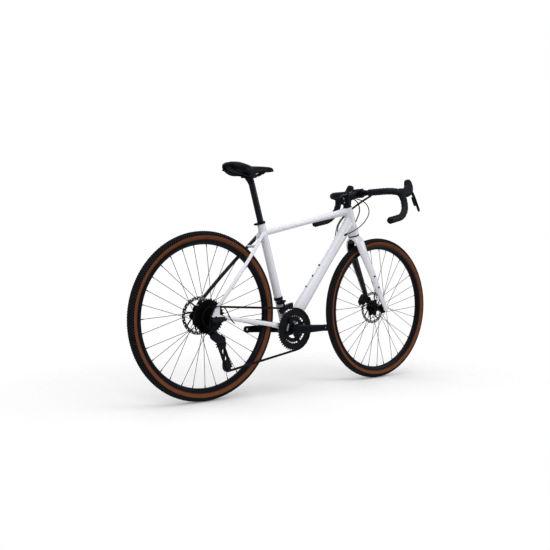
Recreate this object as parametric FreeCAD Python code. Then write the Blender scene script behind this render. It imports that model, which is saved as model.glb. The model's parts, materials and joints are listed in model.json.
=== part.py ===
import FreeCAD, Part
import math
import os

# Gravel bike with drop handlebar, two chainrings and disc brakes.
# X points forward, Y to the left, Z up. The origin is on the ground, midway between the wheels.
# The drive side is on the right, at negative Y. All lengths are in millimetres.

Vec = FreeCAD.Vector

# clearances
fit_gap = 0.05
rest_gap = 0.3
side_gap = 0.2
overrun = 6.0

# wheels
wheel_radius = 350.0
wheelbase = 1030.0
tyre_width = 40.0
tyre_casing = 2.5
bead_depth = 2.8
rim_width = 28.0
rim_depth = 19.0
rim_wall = 2.0
rim_nose_width = 17.0
rim_nose_height = 3.0
rim_side_height = 8.0
spoke_count = 32
spoke_crosses = 3
spoke_diameter = 2.0
nipple_diameter = 3.8
nipple_length = 13.0
nipple_reach = 3.0
nipple_hole_gap = 0.6
rim_hole_stagger = 2.0
valve_diameter = 6.0
valve_length = 52.0
front_valve_turn = 112.5
rear_valve_turn = 0.0

# hubs and axles
axle_diameter = 12.0
front_hub_width = 100.0
rear_hub_width = 142.0
front_hole_circle = 44.0
rear_hole_circle = 48.0
flange_edge = 2.2
flange_thickness = 2.6
front_flange_left = 23.0
front_flange_right = 34.0
rear_flange_left = 34.0
rear_flange_right = 20.0
hub_shell_diameter = 27.0
hub_cap_diameter = 20.0
hub_cap_length = 8.0
rotor_boss_diameter = 34.0
freehub_pin_diameter = 18.0
axle_head_diameter = 18.0
axle_head_length = 4.0
axle_key_diameter = 6.0

# brake rotors and calipers
rotor_diameter = 160.0
rotor_band = 14.0
rotor_thickness = 1.8
rotor_carrier_diameter = 56.0
rotor_arms = 8
rotor_arm_width = 6.0
rotor_arm_sweep = 38.0
rotor_holes = 40
rotor_hole_diameter = 5.0
front_rotor_place = 34.7
rear_rotor_place = 50.7
lockring_diameter = 41.0
lockring_thickness = 4.0
caliper_reach = 80.0
caliper_width = 27.0
caliper_inner = 10.5
caliper_slot = 2.8
caliper_length = 56.0
caliper_height = 14.0
caliper_foot = 12.0
front_caliper_turn = 147.0
rear_caliper_turn = 24.0
banjo_diameter = 9.0
banjo_length = 8.0

# chain and sprockets
chain_pitch = 12.7
roller_diameter = 7.4
chain_pin_diameter = 3.6
chain_inner_width = 2.45
chain_plate = 0.8
chain_plate_gap = 0.15
chain_plate_height = 8.2
tooth_height = 3.0
tooth_root = 4.0
tooth_tip_share = 0.06
tooth_pitch_share = 0.145
tooth_root_share = 0.30
chain_links = 114
ring_teeth = 46
small_ring_teeth = 30
ring_place = 50.0
small_ring_place = 43.0
ring_thickness = 1.1
ring_bore_diameter = 124.0
small_ring_bore_diameter = 78.0
cog_teeth = (11, 13, 15, 17, 19, 21, 24, 28, 32, 36)
chain_cog = 5
first_cog_place = 61.5
cog_spacing = 3.95
cog_thickness = 1.4
freehub_diameter = 34.0
freehub_length = 41.0
cog_hole_count = 6
cog_hole_teeth = 23
cog_hole_share = 0.16
lock_nut_diameter = 31.0
lock_nut_length = 3.0

# cranks and bottom bracket
bb_drop = 72.5
chainstay_length = 443.0
crank_length = 175.0
crank_turn = 0.0
spindle_diameter = 24.0
shell_diameter = 54.0
shell_width = 68.0
cup_diameter = 44.0
cup_sleeve_diameter = 40.0
cup_flange = 9.0
cup_depth = 12.0
crank_boss_diameter = 42.0
crank_boss_outer = 66.0
crank_root_place = 59.0
crank_end_place = 66.0
crank_end_diameter = 30.0
crank_end_thickness = 13.0
crank_root_height = 44.0
crank_neck_height = 28.0
crank_root_thickness = 14.0
crank_neck_thickness = 12.0
crank_place_shares = (0.0, 0.18, 0.5, 0.86, 1.0)
crank_swell_shares = (1.0, 0.85, 0.45, 0.1, 0.0)
crank_power_share = 0.55
pedal_hole_diameter = 14.3
spider_arms = 4
spider_turn = 28.0
spider_reach = 61.0
spider_root_width = 30.0
spider_tip_width = 17.0
ring_bolt_circle = 112.0
small_bolt_circle = 84.0
ring_bolt_diameter = 10.0
ring_bolt_head = 1.2
crank_cap_diameter = 22.0
crank_cap_length = 2.0

# frame
head_angle = 71.0
fork_length = 398.0
fork_rake = 53.0
lower_cover = 4.0
head_tube_length = 140.0
head_lower_diameter = 54.0
head_upper_diameter = 44.0
head_wall = 3.5
bearing_depth = 8.0
lower_bearing_diameter = 48.0
upper_bearing_diameter = 39.0
steerer_diameter = 28.6
steerer_base_diameter = 38.0
steerer_taper = 45.0
seat_angle = 72.68
seat_tube_offset = 10.2
seat_tube_length = 488.0
seat_tube_diameter = 35.0
seatpost_diameter = 27.2
tube_wall = 1.8
top_tube_on_seat = 443.0
top_tube_on_head = 126.0
top_tube_seat_height = 28.0
top_tube_mid_height = 25.5
top_tube_head_height = 40.0
top_tube_seat_width = 27.0
top_tube_mid_width = 28.0
top_tube_head_width = 34.0
top_tube_shares = (0.0, 0.25, 0.6, 0.85, 1.0)
down_tube_on_head = 77.5
down_tube_base_height = 48.0
down_tube_low_height = 55.0
down_tube_mid_height = 47.0
down_tube_head_height = 67.0
down_tube_base_width = 52.0
down_tube_low_width = 54.0
down_tube_mid_width = 47.0
down_tube_head_width = 43.0
down_tube_shares = (0.0, 0.14, 0.68, 0.86, 1.0)
stay_rise_shares = (0.0, 0.22, 0.55, 1.0)
chainstay_root_place = 26.0
chainstay_tyre_place = 33.5
chainstay_mid_place = 50.0
chainstay_end_place = 75.0
chainstay_root_height = 28.0
chainstay_mid_height = 20.0
chainstay_end_height = 15.0
chainstay_width = 17.0
chainstay_end_width = 9.0
chainstay_lift = 7.5
seatstay_on_seat = 449.0
seatstay_root_place = 10.0
seatstay_bow_place = 67.3
seatstay_end_place = 75.0
seatstay_end_forward = 9.0
seatstay_end_rise = 42.0
seatstay_height = 17.0
seatstay_width = 12.0
seatstay_root_height = 22.0
seatstay_end_width = 8.0
seatstay_shares = (0.0, 0.17, 0.34, 0.56, 0.8, 1.0)
bridge_diameter = 13.0
bridge_share = 0.2
dropout_thickness = 7.0
dropout_radius = 17.0
dropout_stay_radius = 9.5
dropout_stay_reach = 44.0
dropout_seat_reach = 36.0
hanger_back = 8.0
hanger_drop = 28.0
hanger_radius = 10.0
hanger_bolt_diameter = 9.0

# seat clamp
clamp_height = 9.0
clamp_wall = 2.5
clamp_lift = 6.0
clamp_slit = 2.0
clamp_ear_width = 15.0
clamp_ear_reach = 11.0
clamp_bolt_diameter = 5.0
clamp_bolt_head = 8.0

# seatpost and saddle
seatpost_top = 664.0
seatpost_length = 340.0
seatpost_wall = 2.3
cradle_length = 42.0
cradle_height = 8.5
cradle_width = 30.0
cradle_bolt_diameter = 6.0
rail_diameter = 7.0
rail_spread = 44.0
rail_height = 941.0
rail_clamp_front = 264.0
rail_clamp_back = 350.0
rail_nose_x = 228.0
rail_nose_rise = 21.0
rail_nose_spread = 16.0
rail_tail_x = 402.0
rail_tail_rise = 17.0
rail_tail_spread = 60.0
rail_socket = 7.0
saddle_rear = 430.0
saddle_length = 259.0
saddle_width = 134.0
saddle_top = 992.0
saddle_skirt = 48.0
saddle_channel = 6.0
saddle_channel_width = 26.0
saddle_shell_wall = 3.0
saddle_place_shares = (0.0, 0.06, 0.15, 0.32, 0.5, 0.65, 0.8, 0.95, 1.0)
saddle_width_shares = (0.18, 0.54, 0.88, 1.0, 0.60, 0.38, 0.30, 0.24, 0.11)
saddle_drop_shares = (0.30, 0.09, 0.0, 0.09, 0.20, 0.15, 0.10, 0.12, 0.20)
saddle_skirt_shares = (0.25, 0.52, 0.80, 0.95, 0.76, 0.60, 0.46, 0.38, 0.27)
saddle_under_shares = (0.60, 0.50, 0.46, 0.46, 0.52, 0.62, 0.70, 0.72, 0.72)
saddle_channel_shares = (0.05, 0.3, 0.7, 1.0, 1.0, 0.8, 0.5, 0.15, 0.05)
shell_place_shares = (0.06, 0.15, 0.32, 0.5, 0.65, 0.8, 0.88)
cradle_back = 15.0
saddle_lip_share = 0.90
shell_width_share = 0.72

# fork
crown_height = 30.0
crown_depth = 50.0
crown_race_diameter = 53.0
blade_root_place = 38.0
blade_root_drop = 58.0
blade_root_depth = 50.0
blade_root_width = 23.0
blade_mid_depth = 34.0
blade_mid_width = 18.0
blade_end_depth = 25.0
blade_end_width = 13.0
blade_shares = (0.0, 0.2, 0.55, 0.9, 1.0)
fork_end_radius = 13.0
fork_end_thickness = 11.0
crown_place_shares = (1.0, 0.93, 0.62, 0.3, 0.0)
crown_drop_shares = (1.0, 0.62, 0.30, 0.255, 0.25)
crown_turn_shares = (1.0, 0.8, 0.28, 0.05, 0.0)

# stem and handlebar
top_cover_height = 9.0
spacer_diameter = 34.0
spacer_height = 10.0
stem_clamp_height = 40.0
stem_clamp_diameter = 38.0
stem_length = 95.0
stem_rise = 2.5
stem_body_width = 30.0
stem_body_height = 32.0
stem_face_width = 46.0
stem_face_diameter = 44.0
stem_face_slit = 2.0
top_cap_height = 4.0
top_cap_diameter = 34.0
bar_clamp_diameter = 31.8
bar_clamp_width = 70.0
bar_taper = 22.0
bar_diameter = 23.8
tape_thickness = 4.2
tape_start = 68.0
bar_hood_half = 210.0
bar_flare = 17.9
bar_reach = 80.0
bar_drop = 149.0
bar_ahead_shares = (0.0, 0.22, 0.78, 0.99, 0.92, 0.48, -0.65)
bar_drop_shares = (0.0, 0.0, 0.02, 0.24, 0.57, 0.85, 1.0)
bar_half_shares = (0.83, 0.965, 1.0, 1.0, 1.0, 1.0, 1.0)
plug_length = 8.0

# brake and shift levers
hood_reach = 136.5
hood_rise = 66.0
hood_width = 37.0
hood_depth = 50.0
hood_ahead_shares = (0.44, 0.60, 0.78, 0.92, 0.99, 1.0, 1.0, 1.0)
hood_rise_shares = (-0.04, -0.06, 0.0, 0.18, 0.45, 0.73, 0.92, 1.0)
hood_tilt_shares = (0.0, 0.0, 0.15, 0.45, 0.80, 1.0, 1.0, 1.0)
hood_depth_shares = (0.70, 0.84, 0.92, 0.98, 0.86, 0.74, 0.54, 0.22)
hood_width_shares = (0.94, 0.98, 1.0, 1.0, 0.97, 0.90, 0.66, 0.28)
lever_pivot_ahead = 144.0
lever_pivot_rise = 18.0
lever_boss_diameter = 14.0
lever_width = 15.0
lever_tip_width = 10.0
lever_thickness = 9.0
lever_tip_thickness = 6.0
lever_reach = 28.0
lever_drop = 110.0
lever_pin_diameter = 4.0
lever_slot_reach = 13.0
lever_ahead_shares = (0.0, 0.34, 0.58, 0.82, 0.97, 1.0)
lever_drop_shares = (0.0, 0.20, 0.40, 0.70, 0.95, 1.0)
paddle_back = 11.5
paddle_length = 42.0
paddle_width = 13.0
paddle_thickness = 4.4
paddle_place_shares = (0.0, 0.35, 0.8, 1.0)
paddle_width_shares = (0.7, 0.9, 1.0, 0.7)
paddle_power_share = 0.6
paddle_pivot_share = 0.36
paddle_boss_diameter = 8.0

# derailleurs
pulley_teeth = 11
pulley_thickness = 1.8
pulley_bolt_diameter = 5.0
pulley_hub_diameter = 11.0
cage_plate = 1.5
cage_half_width = 5.0
cage_pulley_radius = 14.0
cage_waist_radius = 8.0
cage_length = 101.0
cage_pivot_forward = 45.0
cage_pivot_drop = 102.0
guide_forward = 2.0
guide_drop = 10.0
cage_boss_diameter = 18.0
link_length = 46.0
link_spread = 17.0
link_thickness = 5.0
link_width = 14.0
link_end_radius = 5.0
link_pin_diameter = 4.0
lug_thickness = 3.5
lug_reach = 12.0
knuckle_back = 13.0
knuckle_drop = 60.0
knuckle_out = 72.0
knuckle_diameter = 22.0
knuckle_neck_diameter = 14.0
hanger_boss_length = 10.0
barrel_diameter = 23.0
barrel_end_place = 66.0
link_fall = 35.0
shift_slope = 0.88
shifter_clamp_on_seat = 138.0
shifter_clamp_height = 12.0
shifter_clamp_wall = 2.5
shifter_body_width = 15.0
shifter_body_height = 22.0
shifter_pivot_diameter = 5.0
shifter_pivot_rise = 30.0
shifter_pivot_place = 44.0
shifter_pivot_length = 26.0
shifter_cage_gap = 4.0
shifter_cage_height = 21.0
shifter_cage_half = 4.4
shifter_cage_inner_half = 5.6
shifter_cage_plate = 1.4
shifter_cage_start = 97.0
shifter_cage_end = 136.0
shifter_bridge_end = 120.0
shifter_arm_width = 10.0

# cables, ports and small bolts
hose_diameter = 5.0
housing_diameter = 4.2
port_diameter = 9.0
port_length = 7.0
boss_bolt_diameter = 8.0
boss_bolt_head = 4.0
boss_bolt_bevel = 0.8
bottle_shares = (0.34, 0.44, 0.54)
fork_boss_shares = (0.465, 0.645)
stem_bolt_diameter = 5.0
stem_bolt_length = 3.0
stem_bolt_spread = 34.0
stem_bolt_rise = 34.0

RIGHT = -1
LEFT = 1
SIDES = (RIGHT, LEFT)
AHEAD = Vec(1, 0, 0)
ACROSS = Vec(0, 1, 0)
UP = Vec(0, 0, 1)
OVAL_POINTS = 16


def unit(v):
    return Vec(v).normalize()


def polar(centre, radius, angle, y=0.0):
    """Point at an angle about the Y axis, measured from forward towards up, in radians."""
    away = AHEAD * (radius * math.cos(angle)) + UP * (radius * math.sin(angle))
    return centre + away + ACROSS * y


def cylinder(p, q, diameter):
    return Part.makeCylinder(diameter / 2, (q - p).Length, p, q - p)


def cone(p, q, first, last):
    if abs(first - last) < fit_gap:
        return cylinder(p, q, first)
    return Part.makeCone(first / 2, last / 2, (q - p).Length, p, q - p)


def collar(p, q, outer, inner):
    along = unit(q - p) * overrun
    return cylinder(p, q, outer).cut(cylinder(p - along, q + along, inner))


def circle_wire(centre, diameter, normal):
    return Part.Wire(Part.makeCircle(diameter / 2, centre, normal))


def block(centre, ways, sizes):
    """Box with its centre, three unit directions and three full sizes."""
    a, b, c = [w * (s / 2) for w, s in zip(ways, sizes)]
    low = centre - c
    corners = [low - a - b, low + a - b, low + a + b, low - a + b, low - a - b]
    return Part.Face(Part.makePolygon(corners)).extrude(c * 2)


def spun(path, centre):
    """Solid turned about the Y axis. The path holds (radius, y) corners, or arcs as (radius, y, radius, y)."""
    edges = []
    here = None
    for step in list(path) + [path[0][-2:]]:
        end = centre + UP * step[-2] + ACROSS * step[-1]
        if here is not None and len(step) == 2 and (end - here).Length > fit_gap / 2:
            edges.append(Part.LineSegment(here, end).toShape())
        if here is not None and len(step) == 4:
            mid = centre + UP * step[0] + ACROSS * step[1]
            edges.append(Part.Arc(here, mid, end).toShape())
        here = end
    return Part.Face(Part.Wire(edges)).revolve(centre, ACROSS, 360)


def turned(stations, bore, centre):
    """Stepped turning about the Y axis from (y, diameter) stations, with a round bore through it."""
    first, last = stations[0][0], stations[-1][0]
    path = [(bore / 2, first)] + [(d / 2, y) for y, d in stations] + [(bore / 2, last)]
    return spun(path, centre)


def tongue_wire(p, p_radius, q, q_radius):
    """Outline round two circles in a plane of constant Y, joined by their common tangents."""
    line = q - p
    heading = math.atan2(line.z, line.x)
    spread = math.acos((p_radius - q_radius) / line.Length)
    p_low, p_high = polar(p, p_radius, heading - spread), polar(p, p_radius, heading + spread)
    q_low, q_high = polar(q, q_radius, heading - spread), polar(q, q_radius, heading + spread)
    sides = [Part.LineSegment(p_high, q_high).toShape()]
    sides.append(Part.Arc(q_high, polar(q, q_radius, heading), q_low).toShape())
    sides.append(Part.LineSegment(q_low, p_low).toShape())
    sides.append(Part.Arc(p_low, polar(p, p_radius, heading + math.pi), p_high).toShape())
    return Part.Wire(sides)


def tongue(p, p_radius, q, q_radius, low, high):
    """Flat bar with round ends between two Y places."""
    p = Vec(p.x, low, p.z)
    q = Vec(q.x, low, q.z)
    return Part.Face(tongue_wire(p, p_radius, q, q_radius)).extrude(ACROSS * (high - low))


def oval(centre, across, up, width, height, power=1.0):
    """Closed smooth outline. A power under 1 squares it."""
    points = []
    for i in range(OVAL_POINTS):
        turn = 2 * math.pi * i / OVAL_POINTS
        c = math.copysign(abs(math.cos(turn)) ** power, math.cos(turn))
        s = math.copysign(abs(math.sin(turn)) ** power, math.sin(turn))
        points.append(centre + across * (c * width / 2) + up * (s * height / 2))
    curve = Part.BSplineCurve()
    curve.interpolate(points, True)
    return Part.Wire(curve.toShape())


def loft(wires):
    return Part.makeLoft(wires, True)


def straight_loft(p, q, shares, widths, heights, power=1.0):
    """Loft along a line in a plane of constant Y, or close to one, with its widths across it."""
    along = unit(q - p)
    up = unit(along.cross(ACROSS))
    across = unit(up.cross(along))
    line = q - p
    return loft([oval(p + line * t, across, up, w, h, power) for t, w, h in zip(shares, widths, heights)])


def path_loft(points, widths, heights, power=1.0):
    """Loft through sections square to a path of points."""
    wires = []
    for i, p in enumerate(points):
        before = points[max(i - 1, 0)]
        after = points[min(i + 1, len(points) - 1)]
        along = unit(after - before)
        up = unit(along.cross(ACROSS))
        across = unit(up.cross(along))
        wires.append(oval(p, across, up, widths[i], heights[i], power))
    return loft(wires)


def rounded_path(points, reach=0.45):
    """Straight runs joined by tangent arcs, each as large as its two runs allow."""
    edges = []
    radii = []
    here = points[0]
    for i in range(1, len(points) - 1):
        p = points[i]
        back, ahead = points[i - 1] - p, points[i + 1] - p
        trim = reach * min(back.Length, ahead.Length)
        back, ahead = unit(back), unit(ahead)
        half = (math.pi - back.getAngle(ahead)) / 2
        radius = trim / math.tan(half)
        middle = p + unit(back + ahead) * (radius / math.cos(half) - radius)
        edges.append(Part.LineSegment(here, p + back * trim).toShape())
        edges.append(Part.Arc(p + back * trim, middle, p + ahead * trim).toShape())
        radii.append(radius)
        here = p + ahead * trim
    edges.append(Part.LineSegment(here, points[-1]).toShape())
    return Part.Wire(edges), radii


def swept(points, diameter, name=None):
    """Round tube along a rounded path. Cords print their bend radii and how the volume compares."""
    wire, radii = rounded_path(points)
    start = circle_wire(points[0], diameter, points[1] - points[0])
    solid = wire.makePipeShell([start], True)
    if name:
        share = solid.Volume / (math.pi * diameter ** 2 / 4 * wire.Length)
        print(name, "length", round(wire.Length), "radii", [round(r) for r in radii], "volume", round(share, 4))
    return solid


def mirrored(shape):
    return shape.mirror(Vec(0, 0, 0), ACROSS)


def pitch_radius(teeth):
    return chain_pitch / 2 / math.sin(math.pi / teeth)


def group(solids):
    return Part.makeCompound(solids)


def save(node, shape):
    shape.exportStep("parts/" + node + ".step")


# main points and lines of the frame
rear_axle = Vec(-wheelbase / 2, 0, wheel_radius)
front_axle = Vec(wheelbase / 2, 0, wheel_radius)
bb_forward = math.sqrt(chainstay_length ** 2 - bb_drop ** 2)
bb = rear_axle + AHEAD * bb_forward - UP * bb_drop
head_turn = math.radians(head_angle)
head_axis = Vec(-math.cos(head_turn), 0, math.sin(head_turn))
head_ahead = Vec(math.sin(head_turn), 0, math.cos(head_turn))
fork_along = math.sqrt(fork_length ** 2 - fork_rake ** 2)
crown_point = front_axle - head_ahead * fork_rake + head_axis * fork_along
seat_turn = math.radians(seat_angle)
seat_axis = Vec(-math.cos(seat_turn), 0, math.sin(seat_turn))
seat_ahead = Vec(math.sin(seat_turn), 0, math.cos(seat_turn))
seat_foot = bb - AHEAD * seat_tube_offset
head_top = lower_cover + head_tube_length
spacer_start = head_top + top_cover_height
stem_start = spacer_start + spacer_height
stem_end = stem_start + stem_clamp_height
stem_middle = (stem_start + stem_end) / 2
bar_rise_turn = math.radians(90 - head_angle + stem_rise)
stem_ahead = Vec(math.cos(bar_rise_turn), 0, math.sin(bar_rise_turn))
stem_up = Vec(-math.sin(bar_rise_turn), 0, math.cos(bar_rise_turn))


def on_head(d):
    return crown_point + head_axis * d


def on_seat(d):
    return seat_foot + seat_axis * d


bar_centre = on_head(stem_middle) + stem_ahead * stem_length
dropout_inner = rear_hub_width / 2 + side_gap
dropout_outer = dropout_inner + dropout_thickness
hanger = rear_axle - AHEAD * hanger_back - UP * hanger_drop


# wheels
tyre_radius = tyre_width / 2
tyre_centre_radius = wheel_radius - tyre_radius
bead_half = rim_width / 2 - rim_wall - fit_gap
bead_top_radius = tyre_centre_radius - math.sqrt(tyre_radius ** 2 - bead_half ** 2)
rim_edge_radius = bead_top_radius - rest_gap
bead_seat_radius = rim_edge_radius - bead_depth
rim_inner_radius = rim_edge_radius - rim_depth


def tyre(centre):
    inner = tyre_radius - tyre_casing
    inner_half = bead_half - tyre_casing
    inner_top = tyre_centre_radius - math.sqrt(inner ** 2 - inner_half ** 2)
    foot = bead_seat_radius + fit_gap
    path = [(bead_top_radius, bead_half), (wheel_radius, 0, bead_top_radius, -bead_half)]
    path += [(foot, -bead_half), (foot, -inner_half), (inner_top, -inner_half)]
    path += [(wheel_radius - tyre_casing, 0, inner_top, inner_half), (foot, inner_half), (foot, bead_half)]
    return spun(path, centre)


def rim_angles():
    return [2 * math.pi * i / spoke_count for i in range(spoke_count)]


def rim(centre, valve_turn):
    half = rim_width / 2
    shoulder = rim_edge_radius - rim_side_height
    nose = rim_inner_radius + rim_nose_height
    tip = rim_nose_width / 2
    path = [(rim_edge_radius, half), (shoulder, half), (nose, tip)]
    path += [(rim_inner_radius, 0, nose, -tip), (shoulder, -half), (rim_edge_radius, -half)]
    path += [(rim_edge_radius, rim_wall - half), (bead_seat_radius, rim_wall - half)]
    path += [(bead_seat_radius, half - rim_wall), (rim_edge_radius, half - rim_wall)]
    roof = bead_seat_radius - rim_wall
    room = [(roof, half - rim_wall), (shoulder, half - rim_wall), (nose + rim_wall / 2, tip - rim_wall / 2)]
    room += [(rim_inner_radius + rim_wall, 0, nose + rim_wall / 2, rim_wall / 2 - tip)]
    room += [(shoulder, rim_wall - half), (roof, rim_wall - half)]
    body = spun(path, centre).cut(spun(room, centre))
    cutters = []
    hole = nipple_diameter + 2 * nipple_hole_gap
    for i, angle in enumerate(rim_angles()):
        place = rim_hole_stagger * (LEFT if i % 2 else RIGHT)
        low = polar(centre, rim_inner_radius - overrun, angle, place)
        cutters.append(cylinder(low, polar(centre, nose + overrun, angle, place), hole))
    turn = math.radians(valve_turn - 180 / spoke_count)
    top = polar(centre, bead_seat_radius + rim_wall, turn)
    bottom = polar(centre, bead_seat_radius + rim_wall - valve_length, turn)
    cutters.append(cylinder(top, bottom, valve_diameter + 2 * fit_gap))
    valve = cylinder(polar(centre, bead_seat_radius, turn), bottom, valve_diameter)
    return group([body.cut(group(cutters)), valve])


def spokes(centre, hole_circle, left, right):
    """Each spoke runs from its flange to a nipple in the rim, and every other one leads."""
    pieces = []
    cross = 4 * math.pi * spoke_crosses / spoke_count
    sweep_in = flange_thickness / 2 + spoke_diameter / 2 + fit_gap
    sweep_out = flange_thickness / 2 + spoke_diameter / 2 + flange_edge / 2
    for i, angle in enumerate(rim_angles()):
        side = LEFT if i % 2 else RIGHT
        leads = (i // 2) % 2
        flange = left if side == LEFT else -right
        place = flange + side * (sweep_out if leads else -sweep_in)
        start = polar(centre, hole_circle / 2, angle + (cross if leads else -cross), place)
        stop = polar(centre, rim_inner_radius + nipple_reach, angle, side * rim_hole_stagger)
        collar_end = stop + unit(start - stop) * nipple_length
        pieces.append(cylinder(start, collar_end, spoke_diameter))
        pieces.append(cylinder(collar_end, stop, nipple_diameter))
    return group(pieces)


def hub_bore():
    return axle_diameter + 2 * fit_gap


def front_hub():
    end = front_hub_width / 2
    half = flange_thickness / 2
    flange = front_hole_circle + 2 * flange_edge
    lock = front_rotor_place + rotor_thickness / 2 + lockring_thickness
    stations = [(-end, hub_cap_diameter), (hub_cap_length - end, hub_cap_diameter)]
    stations += [(hub_cap_length - end, hub_shell_diameter), (-front_flange_right - half, hub_shell_diameter)]
    stations += [(-front_flange_right - half, flange), (half - front_flange_right, flange)]
    stations += [(half - front_flange_right, hub_shell_diameter), (front_flange_left - half, hub_shell_diameter)]
    stations += [(front_flange_left - half, flange), (front_flange_left + half, flange)]
    stations += [(front_flange_left + half, rotor_boss_diameter), (lock, rotor_boss_diameter)]
    stations += [(lock, hub_cap_diameter), (end, hub_cap_diameter)]
    return turned(stations, hub_bore(), front_axle)


def rear_hub():
    end = rear_hub_width / 2
    half = flange_thickness / 2
    flange = rear_hole_circle + 2 * flange_edge
    lock = rear_rotor_place + rotor_thickness / 2 + lockring_thickness
    shoulder = rear_flange_right + half + hub_cap_length / 4
    stations = [(-end, freehub_pin_diameter), (-shoulder, freehub_pin_diameter)]
    stations += [(-shoulder, hub_shell_diameter), (-rear_flange_right - half, hub_shell_diameter)]
    stations += [(-rear_flange_right - half, flange), (half - rear_flange_right, flange)]
    stations += [(half - rear_flange_right, hub_shell_diameter), (rear_flange_left - half, hub_shell_diameter)]
    stations += [(rear_flange_left - half, flange), (rear_flange_left + half, flange)]
    stations += [(rear_flange_left + half, rotor_boss_diameter), (lock, rotor_boss_diameter)]
    stations += [(lock, hub_cap_diameter), (end, hub_cap_diameter)]
    return turned(stations, hub_bore(), rear_axle)


def rotor_arm(centre, turn, low):
    inner = rotor_carrier_diameter / 2 - rotor_arm_width
    outer = rotor_diameter / 2 - rotor_band / 2
    sweep = math.radians(rotor_arm_sweep)
    half_in = rotor_arm_width / 2 / inner
    half_out = rotor_arm_width / 2 / outer
    middle = (inner + outer) / 2
    half_mid = rotor_arm_width / 2 / middle
    bow = turn + sweep * 0.7

    def at(radius, angle):
        return polar(centre, radius, angle, low)

    one = Part.Arc(at(inner, turn - half_in), at(middle, bow - half_mid), at(outer, turn + sweep - half_out))
    two = Part.LineSegment(at(outer, turn + sweep - half_out), at(outer, turn + sweep + half_out))
    three = Part.Arc(at(outer, turn + sweep + half_out), at(middle, bow + half_mid), at(inner, turn + half_in))
    four = Part.LineSegment(at(inner, turn + half_in), at(inner, turn - half_in))
    wire = Part.Wire([e.toShape() for e in (one, two, three, four)])
    return Part.Face(wire).extrude(ACROSS * rotor_thickness)


def rotor(centre, place):
    """Vented disc: a pierced band, swept arms and a carrier, held by a lock ring."""
    low = place - rotor_thickness / 2
    middle = centre + ACROSS * low
    wires = [circle_wire(middle, rotor_diameter, ACROSS)]
    wires.append(circle_wire(middle, rotor_diameter - 2 * rotor_band, ACROSS))
    for i in range(rotor_holes):
        offset = rotor_band / 4 * (1 if i % 2 else -1)
        radius = rotor_diameter / 2 - rotor_band / 2 + offset
        spot = polar(centre, radius, 2 * math.pi * i / rotor_holes, low)
        wires.append(circle_wire(spot, rotor_hole_diameter, ACROSS))
    band = Part.Face(wires, "Part::FaceMakerBullseye").extrude(ACROSS * rotor_thickness)
    bore = rotor_boss_diameter + 2 * fit_gap
    carrier = collar(middle, middle + ACROSS * rotor_thickness, rotor_carrier_diameter, bore)
    arms = [rotor_arm(centre, 2 * math.pi * i / rotor_arms, low) for i in range(rotor_arms)]
    disc = carrier.multiFuse(arms).multiFuse([band])
    top = middle + ACROSS * rotor_thickness
    lock = collar(top, top + ACROSS * lockring_thickness, lockring_diameter, bore)
    return group(disc.Solids + [lock])


def axle(centre, width, thickness):
    """Through axle with a keyed head on the left."""
    half = width / 2 + side_gap + thickness
    head = centre + ACROSS * half
    rod = cylinder(centre - ACROSS * half, head, axle_diameter)
    cap = cylinder(head, head + ACROSS * axle_head_length, axle_head_diameter)
    key = cylinder(head + ACROSS * side_gap, head + ACROSS * (axle_head_length + overrun), axle_key_diameter)
    return rod.fuse(cap).cut(key).removeSplitter()


# chain run: each pulley or sprocket is (centre, teeth, way of turning, y place)
guide_pivot = rear_axle + AHEAD * cage_pivot_forward - UP * cage_pivot_drop
guide = guide_pivot + AHEAD * guide_forward - UP * guide_drop
chain_cog_place = -(first_cog_place - cog_spacing * chain_cog)
CLOCKWISE = -1
COUNTER = 1


def tension_pulley(turn):
    return guide + AHEAD * (cage_length * math.cos(turn)) + UP * (cage_length * math.sin(turn))


def chain_stops(turn):
    return [
        (bb, ring_teeth, CLOCKWISE, -ring_place),
        (tension_pulley(turn), pulley_teeth, CLOCKWISE, chain_cog_place),
        (guide, pulley_teeth, COUNTER, chain_cog_place),
        (rear_axle, cog_teeth[chain_cog], CLOCKWISE, chain_cog_place),
    ]


def chain_spans(turn):
    """Straight spans between the stops as (heading, length), each from one stop to the next."""
    stops = chain_stops(turn)
    spans = []
    for i, (centre, teeth, way, _) in enumerate(stops):
        to, to_teeth, to_way, _ = stops[(i + 1) % len(stops)]
        line = to - centre
        offset = to_way * pitch_radius(to_teeth) - way * pitch_radius(teeth)
        heading = math.atan2(line.z, line.x) - math.asin(offset / line.Length)
        spans.append((heading, math.sqrt(line.Length ** 2 - offset ** 2)))
    return spans


def chain_pieces(turn):
    """The run as (links, kind, data) pieces, starting where the chain meets the large ring."""
    stops = chain_stops(turn)
    spans = chain_spans(turn)
    pieces = []
    for i, (centre, teeth, way, place) in enumerate(stops):
        arrive, leave = spans[i - 1][0], spans[i][0]
        sweep = (way * (leave - arrive)) % (2 * math.pi)
        first = arrive - way * math.pi / 2
        pieces.append((sweep * teeth / (2 * math.pi), "arc", (centre, teeth, way, place, first)))
        start = polar(centre, pitch_radius(teeth), leave - way * math.pi / 2, place)
        to, to_teeth, to_way, to_place = stops[(i + 1) % len(stops)]
        stop = polar(to, pitch_radius(to_teeth), leave - to_way * math.pi / 2, to_place)
        pieces.append((spans[i][1] / chain_pitch, "run", (start, stop)))
    return pieces


def slack(turn):
    return sum(p[0] for p in chain_pieces(turn)) - chain_links


def cage_turn():
    """Heading of the cage that takes up the slack of a chain with this many links."""
    low, high = math.radians(-135), math.radians(-20)
    for _ in range(60):
        middle = (low + high) / 2
        if slack(middle) > 0:
            high = middle if slack(high) > slack(low) else high
            low = low if slack(high) > slack(low) else middle
        else:
            low = middle if slack(high) > slack(low) else low
            high = high if slack(high) > slack(low) else middle
    return (low + high) / 2


cage_heading = cage_turn()
tension = tension_pulley(cage_heading)
chain_run = chain_pieces(cage_heading)


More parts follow.
